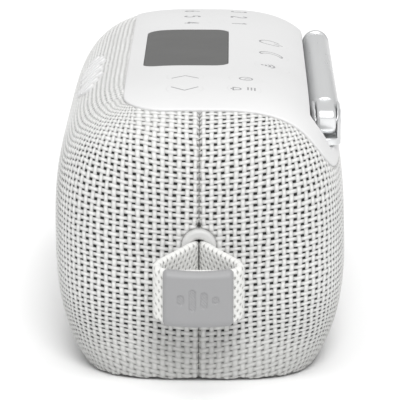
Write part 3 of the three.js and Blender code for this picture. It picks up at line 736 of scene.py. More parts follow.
# ---------------------------------------------------------------- the woven cover
FAN_X, FAN_Y, FAN_LENGTH = 64.0, 17.0, 30.0  # where the columns of yarn start to turn round a corner
UNDERSIDE_Z = 0.6  # the height at which the cover turns under the case
TURN_UNDER = 5.2  # how far it goes on from there
TUCKED_IN = 1.7  # how far it goes on inside the edge of an opening
SEAM_HALF_GAP = 0.06


def cover_columns(k, side):
    """Feet and plan directions of the cover's columns by their distance k along the inner path."""
    ends = np.cumsum([FAN_Y, FAN_LENGTH, 2 * FAN_X, FAN_LENGTH, FAN_Y])
    x = np.interp(k, ends[[1, 2]], [FAN_X, -FAN_X])
    y = side * np.interp(k, [0, ends[0], ends[3], ends[4]], [0, FAN_Y, FAN_Y, 0])
    angle = np.radians(np.interp(k, ends[[0, 1, 2, 3]], [0, 90, 90, 180]))
    return np.stack([x, y], -1), np.stack([np.cos(angle), side * np.sin(angle)], -1)


def cover_rows(side):
    """The cover's smooth form as a grid of places, with distances round it and up it."""
    k = np.linspace(0, 2 * (FAN_X + FAN_Y + FAN_LENGTH), 2400)
    feet, way = cover_columns(k, side)
    base = np.column_stack([feet, np.full(len(k), MIDDLE_Z)])
    heading = np.column_stack([way, np.zeros(len(k))])
    points = base + heading * case_hit(base, heading)[:, None]
    length = distance_along(points)
    total = length[-1]
    fine, coarse = WEAVE_U / 5, WEAVE_U / 3
    near_end = np.arange(0, 46, fine)
    rest = np.arange(near_end[-1] + coarse, total, coarse)
    u = np.concatenate([near_end, rest])
    u = u[(u > 0.25) & (u < total - 0.25)]
    hem = np.array([0.0, 0.1])
    u = np.concatenate([hem, u, total - hem[::-1]])
    k_of_u = np.interp(u, length, k)
    feet, way = cover_columns(k_of_u, side)
    feet[:, 1] += side * SEAM_HALF_GAP * (np.abs(feet[:, 1]) < 1)
    climb = np.radians(np.linspace(-88.5, 88.5, 420))
    base = np.broadcast_to(np.column_stack([feet, np.full(len(u), MIDDLE_Z)])[:, None], (len(u), len(climb), 3))
    heading = np.concatenate([
        way[:, None] * np.cos(climb)[None, :, None],
        np.broadcast_to(np.sin(climb)[None, :, None], (len(u), len(climb), 1)),
    ], -1)
    curve = base + heading * case_hit(base, heading)[..., None]
    steps = np.linalg.norm(np.diff(curve, axis=1), axis=2)
    height = np.concatenate([np.zeros((len(u), 1)), np.cumsum(steps, axis=1)], axis=1)
    middle = np.array([np.interp(0.0, climb, row) for row in height])
    height -= middle[:, None]
    v = np.arange(-44, 70, WEAVE_V / 4)
    rows = np.empty((len(v), len(u), 3))
    valid = np.empty((len(v), len(u)), bool)
    for i in range(len(u)):
        for axis in range(3):
            rows[:, i, axis] = np.interp(v, height[i], curve[i, :, axis])
        valid[:, i] = (v > height[i, 0]) & (v < height[i, -1])
    return rows, u, v, valid, total


def grid_normals(points, flip):
    du = np.gradient(points, axis=1)
    dv = np.gradient(points, axis=0)
    normal = unit(np.cross(du, dv))
    return -normal if flip else normal


def weave_relief(u, v, closed):
    """Height of the yarn for distances round and up the cover, the same weave as the material's."""
    u, v = u / WEAVE_U, v / WEAVE_V
    over = np.sin(math.pi * u) * np.sin(math.pi * v)
    v = v - SNAKE * np.cos(math.pi * u) * np.sin(math.pi * v)
    heights = []
    for at, half, sign in ((u, WARP_HALF, OVER), (v, WEFT_HALF, -OVER)):
        away = 0.5 - np.abs(at - np.round(at))
        share = np.minimum(away / (half + 0.06 + TIGHTEN * closed), 1)
        heights.append(np.sqrt(1 - share**2) * (1 - OVER + sign * over))
    return YARN_DEPTH * (np.maximum(*heights) - 1)


def cloudy(shape, cells, amount, seed):
    """A smooth random field with about one bump to every few cells."""
    rows, columns = (max(2, n // c) for n, c in zip(shape, cells))
    coarse = np.random.default_rng(seed).uniform(-amount, amount, (rows, columns))
    at_row, at_column = np.linspace(0, rows - 1, shape[0]), np.linspace(0, columns - 1, shape[1])
    wide = np.array([np.interp(at_column, np.arange(columns), row) for row in coarse])
    return np.array([np.interp(at_row, np.arange(rows), column) for column in wide.T]).T


def closing(points, at_panel, at_bezel):
    """How far the weave is pulled closed: under the panel's hem, on the shoulder and round the foot."""
    x, y, z = points[..., 0], points[..., 1], points[..., 2]
    open_end = smoothstep(72, 78, np.abs(x)) * smoothstep(-14, 2, y)
    hem = (0.8 - 0.6 * open_end) * smoothstep(-13, -1.2, at_panel)
    slot = 0.5 * smoothstep(-3.5, -0.5, at_bezel)
    foot = 0.7 * smoothstep(17, 5, z + 0.12 * (np.abs(y) - 20))
    shoulder = 0.6 * smoothstep(50, 62, z) * smoothstep(79, 70, np.abs(x))
    corner = 0.55 * smoothstep(58, 66, z) * smoothstep(12, 24, np.abs(y))
    flank = 0.4 * smoothstep(27, 37, np.abs(y)) * (np.abs(x) > 72)
    return np.maximum.reduce([hem, slot, foot, shoulder, corner, flank])


def sag(points):
    """How much lower the rows of the weave hang at an end's seam than out at its corners."""
    x, y, z = np.abs(points[..., 0]), points[..., 1], points[..., 2]
    out = 34 * np.tanh(np.abs(y) / 34)
    extra = 0.003 * smoothstep(42, 62, z) + 0.007 * smoothstep(24, 5, z)
    return out**2 * (0.0028 + extra * smoothstep(64, 80, x))


def woven_piece(name, side, node):
    rows, u, v, valid, total = cover_rows(side)
    keep = valid.copy()
    u_grid, v_grid = np.meshgrid(u, v)
    floor = UNDERSIDE_Z + 0.16 * np.sin(u_grid * TAU / 8.7) + 0.12 * np.sin(u_grid * TAU / 5.3 + 1)
    below = rows[..., 2] < floor
    crossing = np.array([v[int(np.argmin(below[:, i]))] for i in range(len(u))])
    past = crossing[None, :] - v_grid
    keep &= past < TURN_UNDER
    rows[..., 2] = np.where(below, floor + 2.0 * smoothstep(3.2, 4.6, past), rows[..., 2])
    depth, at_panel, at_bezel = opening_depth(rows)
    keep &= depth < TUCKED_IN
    from_seam = np.abs(rows[..., 1])
    at_end = np.abs(rows[..., 0]) > 60
    tuck = 0.55 * smoothstep(-0.45, 0.05, depth) + 0.9 * smoothstep(0.05, 0.6, depth)
    seam = 0.85 * smoothstep(0.6, 0.08, from_seam) * at_end
    parted = smoothstep(43.2, 41.4, rows[..., 2]) * smoothstep(39, 41, rows[..., 2]) * (rows[..., 0] > 70)
    rows[..., 1] += side * 0.55 * parted * np.exp(-from_seam / 1.2)
    normal = grid_normals(rows, side < 0)
    angle = np.arctan2(rows[..., 2] - BEZEL_CENTRE[1], rows[..., 1])
    pucker = 0.28 * np.sin(angle * 11 + side) * np.exp(-np.maximum(-at_bezel, 0) / 2.4) * (at_bezel > -20)
    calm = 1 - smoothstep(-0.9, -0.1, depth)
    quiet = calm * (1 - 0.8 * smoothstep(0.5, 0.15, from_seam) * at_end)
    closed = closing(rows, at_panel, at_bezel)
    cloth_u = u_grid + cloudy(u_grid.shape, (9, 8), 0.3, 3 + side)
    cloth_v = v_grid - sag(rows) + cloudy(u_grid.shape, (8, 9), 0.2, 7 + side)
    relief = weave_relief(cloth_u, cloth_v, closed) * quiet + pucker * calm
    points = rows + normal * (relief - tuck - seam)[..., None]
    build = Build()
    build.add(points, grid_faces(len(v), len(u), keep, flip=side < 0))
    data = build.mesh(name)
    cloth = np.stack([cloth_u, cloth_v, 1 - quiet], -1)
    store(data, "cloth", "FLOAT_VECTOR", "vector", cloth)
    store(data, "closed", "FLOAT", "value", closed)
    drop_loose(data)
    made = piece(name, data, "case", "cover", "grille_fabric", [node])
    used = v[keep.any(axis=1)]
    return made, (round(total + 8) * MM, round(used[-1] - used[0]) * MM)


def drop_loose(data):
    """Removes vertices that no face uses."""
    bm = bmesh.new()
    bm.from_mesh(data)
    bmesh.ops.delete(bm, geom=[vert for vert in bm.verts if not vert.link_faces], context="VERTS")
    bm.to_mesh(data)
    bm.free()


COVERS = (("woven_cover_front", -1, "grille_fabric_front"), ("woven_cover_rear", 1, "grille_fabric_rear"))
RELIEF_SHARE = 1.12  # the woven relief's surface for each unit of flat cloth
for name, side, node in COVERS:
    made, flat = woven_piece(name, side, node)
    plain = sum(face.area for face in made.data.polygons) / RELIEF_SHARE
    min(plain, flat[0] * flat[1])


# ---------------------------------------------------------------- top panel
ALL_KEYS = [f"preset_key_{i}" for i in range(1, 7)]
ALL_KEYS += [f"{name}_key" for name in ("previous", "next", "power", "source", "wireless", "clock", "alarm")]
CHANNEL_Y, CHANNEL_Z, CHANNEL_END, CHANNEL_CORNER = 29.1, 58.0, 66.5, 2.6


def key_shape(node, grow=0.0):
    width, height = size_mm(node)[:2] + 2 * grow
    return rounded_rectangle(*middle_mm(node)[:2], width, height, min(width, height) / 2 - 0.005, 0.3)


def channel_path():
    """The channel's wall in plan, from the far end round to where its end wall leaves the case."""
    r = CHANNEL_CORNER
    wall = [(x, CHANNEL_Y) for x in np.arange(-PANEL_END, CHANNEL_END - r, 0.8)]
    rear_y = on_case(np.array([[CHANNEL_END, from_rear(CHANNEL_END, CHANNEL_Z)]]), [0.0])[0][0, 1]
    end_wall = [(CHANNEL_END, y) for y in np.linspace(CHANNEL_Y + r, rear_y, 9)[1:]]
    return np.concatenate([wall, arc(CHANNEL_END - r, CHANNEL_Y + r, r, -90, 0, 9), end_wall])


def panel_outline():
    """The panel's edge in X and section length, anticlockwise seen from outside."""
    end, r = PANEL_END, FRONT_CORNER
    front = [(x, PANEL_FRONT) for x in np.arange(r - end, end - r + 0.01, 0.8)]
    front = plan_loop(np.concatenate([front, arc(end - r, PANEL_FRONT + r, r, -82.5, 0, 12)]))
    corner = plan_loop(arc(r - end, PANEL_FRONT + r, r, 180, 262.5, 12))
    r = PANEL_CORNER
    hem = [(x, PANEL_HEM) for x in np.arange(end - r - 0.8, r - end, -0.8)]
    rear = [arc(end - r, PANEL_HEM + r, r, 0, -90, 13), hem, arc(r - end, PANEL_HEM + r, r, -90, -180, 13)]
    rear = rear_loop(np.concatenate(rear))
    right = [(end, q) for q in np.arange(front[-1, 1] + 0.6, rear[0, 1] - 0.3, 0.8)]
    channel_low = np.array([(x, from_rear(x, CHANNEL_Z)) for x in np.arange(-end, CHANNEL_END - 0.4, 0.8)])
    channel = plan_loop(channel_path())
    left_low = np.array([(-end, q) for q in np.arange(rear[-1, 1] - 0.5, channel_low[0, 1] + 0.3, -0.8)])
    left_up = [(-end, q) for q in np.arange(channel[0, 1] - 0.6, corner[0, 1] + 0.3, -0.8)]
    return np.concatenate([front, right, rear, left_low.reshape(-1, 2), channel_low, channel[::-1], left_up, corner])


def window_shape(grow):
    width, height = size_mm("display_window")[:2] + 2 * grow
    return rounded_rectangle(*middle_mm("display_window")[:2], width, height, 4.0 + grow, 0.5)


def channel_walls(build):
    """The vertical wall, its root curve and the floor of the aerial's channel."""
    path = channel_path()
    facing = left_of(path)
    top = on_case(plan_loop(path), np.full(len(path), -PANEL_PROUD))[0]
    root, steps = 0.8, 5
    rows, normals = [], []
    for share in np.linspace(0, 1, 6):
        z = np.maximum(top[:, 2] - 0.25, CHANNEL_Z + root) * (1 - share) + (CHANNEL_Z + root) * share
        rows.append(np.column_stack([path, z]))
        normals.append(np.column_stack([facing, np.zeros(len(path))]))
    for i in range(1, steps + 1):
        a = math.radians(90 * i / steps)
        shift = facing * root * (1 - math.cos(a))
        rows.append(np.column_stack([path + shift, np.full(len(path), CHANNEL_Z + root - root * math.sin(a))]))
        normals.append(np.column_stack([facing * math.cos(a), np.full(len(path), math.sin(a))]))
    edge = rows[-1]
    for share in np.linspace(0.1, 1, 8):
        x = edge[:, 0]
        rear_y = on_case(np.stack([x, from_rear(x, CHANNEL_Z)], -1), np.full(len(x), 0.2))[0][:, 1]
        y = edge[:, 1] + np.maximum(rear_y - edge[:, 1], 0) * share
        rows.append(np.column_stack([x, y, np.full(len(x), CHANNEL_Z)]))
        normals.append(np.tile([0.0, 0.0, 1.0], (len(x), 1)))
    points = np.array(rows)
    build.add(points, grid_faces(len(rows), len(path)), np.array(normals))


PANEL_PROUD = 0.25
PANEL_FILLETS = [0.6, 0.08] + [0.02] * len(ALL_KEYS)
panel_holes = [plan_loop(window_shape(0.1))] + [plan_loop(key_shape(node, 0.1)) for node in ALL_KEYS]
panel_build = plate(on_case, panel_outline(), panel_holes, 2.4, PANEL_FILLETS, 1.7, top=-PANEL_PROUD, plumb=True)
channel_walls(panel_build)
piece("control_panel", panel_build, "case", "panel", "panel_plastic", ["top_panel"])

window_build = plate(on_case, plan_loop(window_shape(0)), [], 1.5, 0.15, 2.0, top=0.05 - PANEL_PROUD)
piece("display_glass", window_build, "case", "window", "window_plastic", ["display_window"])

for node in ALL_KEYS:
    build = plate(on_case, plan_loop(key_shape(node, 0.08)), [], 3.0, 0.02, 1.2, top=-PANEL_PROUD, plumb=True)
    piece(f"{node}_cap", build, node, "key", "panel_plastic", [node])

name_build = Build()
for i, share in enumerate((0.45, 0.8, 1.0, 0.6, 0.9, 0.5, 1.0, 0.7, 0.4)):
    bar = rounded_rectangle(NAME_CENTRE[0] + (i - 4) * 5.1, NAME_CENTRE[1], 2.7, NAME_SIZE[1] * 1.3 * share, 1.3)
    made = plate(on_case, plan_loop(bar), [], 1.5, 0.4, 1.2, top=-0.75)
    name_build.add(np.concatenate(made.points), made.faces, np.concatenate(made.normals))
piece("emblem_bars", name_build, "case", "panel", "panel_plastic", ["name_plate"])


# ---------------------------------------------------------------- flat and swept shapes
def facing(axis, sign, at):
    """A flat surface whose outward direction is an axis; the outline's plane holds the other two axes in order."""
    others = [i for i in range(3) if i != axis]

    def surface(plane, depth):
        points = np.empty((len(plane), 3))
        points[:, others] = plane
        points[:, axis] = at - sign * np.asarray(depth)
        normal = np.zeros((len(plane), 3))
        normal[:, axis] = sign
        return points, normal

    return surface


def circle(x, y, radius, points=48):
    angle = np.arange(points) * TAU / points
    return np.column_stack([x + radius * np.cos(angle), y + radius * np.sin(angle)])


def ribbon(build, surface, path, width, top, thickness):
    """A thin raised line along a path in the surface's own plane."""
    across = left_of(path) * width / 2
    left, right = path + across, path - across
    rows = [surface(edge, np.full(len(path), d))[0] for edge, d in
            ((left, top + thickness), (left, top), (right, top), (right, top + thickness))]
    points = np.stack(rows, axis=1)
    n = len(path)
    start = build.add(points, grid_faces(n, 4, wrap=True, flip=True))
    build.faces.append(tuple(start + i for i in (0, 1, 2, 3)))
    build.faces.append(tuple(start + 4 * (n - 1) + i for i in (3, 2, 1, 0)))


def smooth_path(points, step):
    """A Catmull-Rom curve through points, resampled about step apart."""
    points = np.array(points, float)
    padded = np.concatenate([2 * points[:1] - points[1:2], points, 2 * points[-1:] - points[-2:-1]])
    made = []
    for i in range(1, len(padded) - 2):
        p0, p1, p2, p3 = padded[i - 1:i + 3]
        for t in np.linspace(0, 1, 24, endpoint=False):
            made.append(0.5 * ((2 * p1) + (p2 - p0) * t + (2 * p0 - 5 * p1 + 4 * p2 - p3) * t**2
                               + (3 * p1 - p0 - 3 * p2 + p3) * t**3))
    made.append(points[-1])
    return resample(np.array(made), step)


def resample(points, step):
    length = distance_along(points)
    n = max(2, int(round(length[-1] / step)) + 1)
    at = np.linspace(0, length[-1], n)
    return np.column_stack([np.interp(at, length, points[:, i]) for i in range(points.shape[1])])


def shade_smooth(obj, degrees):
    """Smooth shading, with a sharp edge wherever faces meet at more than an angle."""
    obj.data.polygons.foreach_set("use_smooth", np.ones(len(obj.data.polygons), bool))
    obj.data.set_sharp_from_angle(angle=math.radians(degrees))


# ---------------------------------------------------------------- marks on the keys
def line(*points):
    return resample(np.array(points, float), 0.15)


DIGITS = {  # strokes in a box 1 wide and 1.7 high, about its middle
    1: [line((-0.3, 0.5), (0.1, 0.85)), line((0.1, 0.85), (0.1, -0.85))],
    2: [np.concatenate([arc(0, 0.4, 0.45, 170, -35), line((0.3, 0.05), (-0.48, -0.85))]),
        line((-0.5, -0.85), (0.5, -0.85))],
    3: [arc(0, 0.42, 0.43, 150, -90), arc(0, -0.42, 0.43, 90, -150)],
    4: [line((0.2, 0.85), (-0.5, -0.35)), line((-0.5, -0.35), (0.5, -0.35)), line((0.2, 0.85), (0.2, -0.85))],
    5: [line((0.42, 0.85), (-0.35, 0.85)), line((-0.35, 0.85), (-0.42, 0.1)), arc(-0.02, -0.3, 0.52, 130, -145)],
    6: [np.concatenate([line((0.3, 0.85), (-0.38, -0.1)), arc(0, -0.38, 0.46, 150, 500, 30)])],
}
MOON = [np.concatenate([arc(0, 0, 1, 60, 300, 30), arc(0.62, 0, 0.88, 262, 98, 24)])]
POWER = [arc(0, 0, 1, 125, 415, 34), line((0, 0.35), (0, 1.15))]
WAVES = [arc(0, -0.7, r, 45, 135, 18) for r in (0.55, 1.1, 1.65)] + [arc(0, -0.7, 0.09, 0, 360, 10)]
CLOCK = [arc(0, 0, 1, 0, 360, 32), line((0, 0.6), (0, 0)), line((0, 0), (0.45, -0.25))]
DOME = [line((-0.85, -0.55), (-0.6, -0.2)), arc(0, 0.15, 0.6, 170, 10, 18), line((0.6, -0.2), (0.85, -0.55))]
BELL = [np.concatenate(DOME), line((-0.9, -0.6), (0.9, -0.6)), arc(0, -0.75, 0.2, 200, 340, 8)]
BARS = [line((-0.8, y), (0.8, y)) for y in (-0.6, 0.0, 0.6)]
ARROW_BACK = [line((0.42, 1.0), (-0.42, 0)), line((-0.42, 0), (0.42, -1.0))]
ARROW_ON = [line((-0.42, 1.0), (0.42, 0)), line((0.42, 0), (-0.42, -1.0))]


def mark(name, node, strokes, x, y, scale, width):
    build = Build()
    for stroke in strokes:
        placed = plan_loop(np.array([x, y]) + np.array(stroke) * scale)
        ribbon(build, on_case, placed, width, -PANEL_PROUD - 0.02, 0.06)
    piece(name, build, node, "print")


# name, key, strokes, place from the key's middle, size and line width
MARKS = [(f"digit_{n}", f"preset_key_{n}", DIGITS[n], 0, 0, 2.45, 0.72) for n in range(1, 7)] + [
    ("previous_mark", "previous_key", ARROW_BACK, 0, 0, 3.6, 0.42),
    ("next_mark", "next_key", ARROW_ON, 0, 0, 3.6, 0.42),
    ("power_mark", "power_key", POWER, 0, 0, 3.0, 0.5),
    ("source_mark", "source_key", MOON, 0, 0, 3.1, 0.45),
    ("wireless_mark", "wireless_key", WAVES, 0, -1.2, 2.0, 0.5),
    ("clock_mark", "clock_key", CLOCK, 0.2, 0.1, 1.7, 0.4),
    ("alarm_mark", "alarm_key", BELL, 0.4, -2.0, 1.5, 0.4),
    ("list_mark", "alarm_key", BARS, -0.3, 1.9, 1.5, 0.4),
]
for name, node, strokes, dx, dy, scale, width in MARKS:
    x, y = middle_mm(node)[:2]
    mark(name, node, strokes, x + dx, y + dy, scale, width)


# ---------------------------------------------------------------- carry loop
LOOP_LOW, LOOP_HIGH = box_mm("strap_loop")
SLEEVE_LOW, SLEEVE_HIGH = box_mm("strap_sleeve")
TAIL_LOW, TAIL_HIGH = box_mm("strap_tail")
BEZEL_FRONT = BEZEL_HIGH[0]
STRAP_Z = middle_mm("strap_tail")[2]
STRAP_SINK = 0.36
WEB_HEIGHT, WEB_THICK = TAIL_HIGH[2] - TAIL_LOW[2] + 0.8, 2.1


def webbing_path():
    """The loop's middle line in plan, from inside the slot out, across the nose and back."""
    nose = LOOP_HIGH[0] - WEB_THICK / 2
    side = LOOP_HIGH[1] - WEB_THICK / 2
    start = LOOP_LOW[0]
    half = [(TAIL_LOW[0] + 4, -1.15), (start - 3.5, -1.15), (start - 1.4, -1.2), (start - 0.1, -1.7),
            (start + 1.6, -3.3), (start + 4.4, -6.3), (start + 7.0, -side + 1.5), (start + 8.8, -side + 0.15),
            (start + 10.6, -side + 0.4), (nose - 0.5, -side + 2.0), (nose, -side + 4.2), (nose, -3)]
    both = half + [(x, -y) for x, y in reversed(half)]
    return smooth_path(both, 0.33)


def swept(path, section):
    """The section carried along the plan path, sinking as it leaves the case."""
    plan = path[:, None, :] + left_of(path)[:, None, :] * section[None, :, 0:1]
    z = STRAP_Z + section[None, :, 1] - STRAP_SINK * np.maximum(plan[..., 0] - LOOP_LOW[0], 0)
    return np.concatenate([plan, z[..., None]], -1)


def webbing():
    path = webbing_path()
    section = rounded_rectangle(0, 0, WEB_THICK, WEB_HEIGHT, 0.9, 0.36)
    points = swept(path, section)
    s = distance_along(path)
    s -= s[-1] / 2
    s_grid = np.repeat(s[:, None], len(section), axis=1)
    z_grid = np.repeat(section[None, :, 1], len(path), axis=0)
    edge = smoothstep(WEB_HEIGHT / 2 - 1.0, WEB_HEIGHT / 2 - 0.2, np.abs(z_grid))
    cell_s, cell_z = s_grid / WEB_S, z_grid / WEB_Z
    relief = np.zeros_like(s_grid)
    for shift in (0.0, 0.5):
        ds = cell_s + shift - np.round(cell_s + shift)
        dz = cell_z + shift - np.round(cell_z + shift)
        relief -= 0.28 * np.clip(1 - np.abs(ds / 0.36) - np.abs(dz / 0.36), 0, 1)
    relief *= 1 - edge
    relief += 0.05 * edge * np.cos(TAU * s_grid / (WEB_S / 2))
    relief += 0.05 * np.sin(TAU * (cell_s + cell_z)) * (1 - edge)
    normal = grid_normals(np.concatenate([points, points[:, :1]], axis=1), False)[:, :-1]
    outward_sign = np.sign((normal * (points - points.mean(axis=1, keepdims=True))).sum(-1).mean())
    points = points + normal * outward_sign * relief[..., None]
    build = Build()
    n, m = len(path), len(section)
    build.add(points, grid_faces(n, m, wrap=True, flip=outward_sign < 0))
    build.faces.append(tuple(range(m))[::-1] if outward_sign > 0 else tuple(range(m)))
    last = tuple(range((n - 1) * m, n * m))
    build.faces.append(last if outward_sign > 0 else last[::-1])
    data = build.mesh("carry_webbing")
    cloth = np.stack([s_grid, z_grid, edge], -1)
    store(data, "cloth", "FLOAT_VECTOR", "vector", cloth)
    made = piece("carry_webbing", data, None, "webbing", "webbing", ["strap_loop", "strap_tail"])
    BEZEL_FRONT * MM
    STRAP_Z * MM
    (BEZEL_FRONT + 4.5) * MM
    STRAP_Z * MM
    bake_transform(made)
    round(WEB_HEIGHT, 1) * MM
    round(s[-1] * 2, 1) * MM


webbing()


def sleeve():
    """A soft grey sleeve over the loop's nose, with a sunk pattern of hatched bars."""
    low, high = SLEEVE_LOW, SLEEVE_HIGH
    depth, height, half = high[0] - low[0], STRAP_SLEEVE_HEIGHT, (high[1] - low[1]) / 2
    centre_x, centre_z = (low[0] + high[0]) / 2, (low[2] + high[2]) / 2
    corner, side_round = 2.0, 1.3
    section = rounded_rectangle(0, 0, depth, height, corner, 0.16)
    start = int(np.argmin(section[:, 0] * 10 + np.abs(section[:, 1])))
    section = np.roll(section, -start, axis=0)
    across = np.concatenate([np.linspace(0, side_round, 9)[:-1], np.arange(side_round, 2 * half - side_round, 0.15),
                             np.linspace(2 * half - side_round, 2 * half, 9)]) - half
    edge = np.maximum(np.abs(across) - (half - side_round), 0)
    inset = side_round - np.sqrt(np.maximum(side_round**2 - edge**2, 0))
    inset = np.minimum(inset, side_round * 0.8)
    away = outward(section)
    ring = section[None] - away[None] * inset[:, None, None]
    y = np.repeat(across[:, None], len(section), axis=1)
    front = smoothstep(depth / 2 - 0.25, depth / 2 - 0.05, ring[..., 0])
    sunk = np.zeros_like(y)
    for bar_y, bar_height in ((-4.5, 2.6), (-1.5, 5.6), (1.5, 4.2), (4.5, 1.9)):
        within = box_distance(y, ring[..., 1] + 0.4, (bar_y, 0.0), (1.7, bar_height), 0.8)
        hatch = 0.5 + 0.5 * np.cos(TAU * (y + ring[..., 1]) / 0.78)
        sunk = np.maximum(sunk, smoothstep(-0.12, 0.12, within) * (0.2 + 0.16 * hatch))
    x = centre_x + ring[..., 0] - sunk * front
    dip = 0.6 * (1 - (y / half) ** 2) * smoothstep(0, height / 2, np.abs(ring[..., 1]))
    rows = [np.stack([x, y, centre_z + ring[..., 1] - dip], -1)]
    inner = section * np.array([(depth - 1.7) / depth, (height - 1.4) / height])
    for end, first in ((0, True), (-1, False)):
        lip = np.column_stack([centre_x + inner[:, 0], np.full(len(inner), across[end]), centre_z + inner[:, 1]])
        deep = lip.copy()
        deep[:, 1] -= math.copysign(2.5, across[end])
        if first:
            rows = [np.stack([deep, lip])] + rows
        else:
            rows.append(np.stack([lip, deep]))
    points = np.concatenate(rows)
    build = Build()
    build.add(points, grid_faces(len(points), len(section), wrap=True, flip=True))
    made = piece("loop_sleeve", build, "carry_loop", "rubber", "grey_rubber", ["strap_sleeve"])
    shade_smooth(made, 60)


STRAP_SLEEVE_HEIGHT = SLEEVE_HIGH[2] - SLEEVE_LOW[2]
sleeve()

BEZEL_SLOT = (4.5, 14.4)
bezel_outer = rounded_rectangle(*BEZEL_CENTRE, *BEZEL_SIZE, 4.4, 0.4)
bezel_slot = rounded_rectangle(*BEZEL_CENTRE, *BEZEL_SLOT, 2.2, 0.4)
bezel_build = plate(facing(0, 1, BEZEL_FRONT), bezel_outer, [bezel_slot], BEZEL_FRONT - BEZEL_LOW[0], 0.95, 0.8)
piece("slot_bezel", bezel_build, "case", "bezel", "panel_plastic", ["strap_bezel"])


# ---------------------------------------------------------------- seams at both ends
SEAM_FOOT, SEAM_TOP = 2.5, 67.5  # heights between which each seam shows
TAPE_HALF, STITCH_HALF, STITCH_STEP = 0.9, 0.95, 3.0


def seam_line(end, low, high, depth):
    """Points up the middle of an end face, sunk below the cover."""
    z = np.linspace(low, high, max(3, int((high - low) / 0.5)))
    points = np.column_stack([end * case_profile_x(z), LEAN * (z - MIDDLE_Z), z])
    return points - case_normal(points) * depth


def case_profile_x(z):
    """How far the middle of an end face reaches at a height."""
    rise = np.where(z >= MIDDLE_Z, RISE, DROP)
    share = np.abs(z - MIDDLE_Z) / rise
    return HALF_LENGTH * (1 - share**END_POWER) ** (1 / END_POWER)


def seam_pieces(end, name, spans):
    tape, threads = Build(), Build()
    for low, high in spans:
        points = seam_line(end, low, high, 1.05)
        left, right = points.copy(), points.copy()
        left[:, 1], right[:, 1] = -TAPE_HALF, TAPE_HALF
        normal = case_normal(points)
        rows = np.stack([left, right, right - normal * 0.15, left - normal * 0.15], axis=1)
        n = len(points)
        start = tape.add(rows, grid_faces(n, 4, wrap=True, flip=end > 0))
        tape.faces.append(tuple(start + i for i in ((3, 2, 1, 0) if end < 0 else (0, 1, 2, 3))))
        tape.faces.append(tuple(start + 4 * (n - 1) + i for i in ((0, 1, 2, 3) if end < 0 else (3, 2, 1, 0))))
        for z in np.arange(low + 2, high - 1, STITCH_STEP):
            thread(threads, end, z)
    piece(f"seam_tape_{name}", tape, "case", "seam")
    piece(f"seam_thread_{name}", threads, "case", "thread")


def thread(build, end, z):
    """One stitch: a short thread that dips across the seam."""
    along = np.linspace(-STITCH_HALF, STITCH_HALF, 9)
    height = z + along * 0.45
    base = np.column_stack([end * case_profile_x(height), along, height])
    normal = case_normal(base)
    middle = base - normal * (0.12 + 0.5 * (1 - (along / STITCH_HALF) ** 2))[:, None]
    tube(build, middle, 0.13)


def tube(build, path, radius, sides=6):
    ahead = unit(np.gradient(path, axis=0))
    a = unit(np.cross(ahead, (0.31, 0.2, 0.93)))  # any direction that no stitch follows will do
    b = np.cross(ahead, a)
    angle = np.arange(sides) * TAU / sides
    ring = np.cos(angle)[None, :, None] * a[:, None] + np.sin(angle)[None, :, None] * b[:, None]
    start = build.add(path[:, None] + ring * radius, grid_faces(len(path), sides, wrap=True))
    build.faces.append(tuple(start + i for i in range(sides))[::-1])
    build.faces.append(tuple(start + (len(path) - 1) * sides + i for i in range(sides)))


seam_pieces(1, "right", [(SEAM_FOOT, BEZEL_LOW[2] - 0.4), (BEZEL_HIGH[2] + 0.4, SEAM_TOP)])
seam_pieces(-1, "left", [(SEAM_FOOT, SEAM_TOP)])


# ---------------------------------------------------------------- aerial
TUBE_END = box_mm("antenna_outer_tube")[0][0]
ROD_LOW, ROD_HIGH = box_mm("antenna_rod")
FORK_LOW, FORK_HIGH = box_mm("antenna_swivel")
TUBE_RADIUS = size_mm("antenna_outer_tube")[1] / 2
AERIAL_Y = middle_mm("antenna_outer_tube")[1]
AERIAL_Z = middle_mm("antenna_rod")[2]
PIVOT_X = middle_mm("antenna_hinge_pin")[0]
TUBE_START = PIVOT_X - 12
AXIS_POINT = (0.0, AERIAL_Y, AERIAL_Z)
TONGUE_HALF, FORK_SLOT_HALF = 2.6, 2.9
TUBE_BORE, TUBE_WALL = 3.25, 0.6


def rounded_profile(profile, radius, steps=4):
    """Rounds the corners of an open profile of (radius, along) pairs."""
    points = np.array(profile, float)
    made = [points[0]]
    for before, here, after in zip(points[:-2], points[1:-1], points[2:]):
        a, b = before - here, after - here
        la, lb = np.linalg.norm(a), np.linalg.norm(b)
        r = min(radius, 0.45 * la, 0.45 * lb)
        for t in np.linspace(0, 1, steps + 1):
            p, q = here + a / la * r * (1 - t), here + b / lb * r * t
            made.append(p * (1 - t) + q * t)
    made.append(points[-1])
    return made


def lathe_piece(name, profile, body, node, radius):
    build = Build()
    build.add(*turned(rounded_profile(profile, radius), AXIS_POINT, (1, 0, 0), (0, 0, 1), 72))
    shade_smooth(piece(name, build, body, "silver", "antenna_silver", [node]), 50)


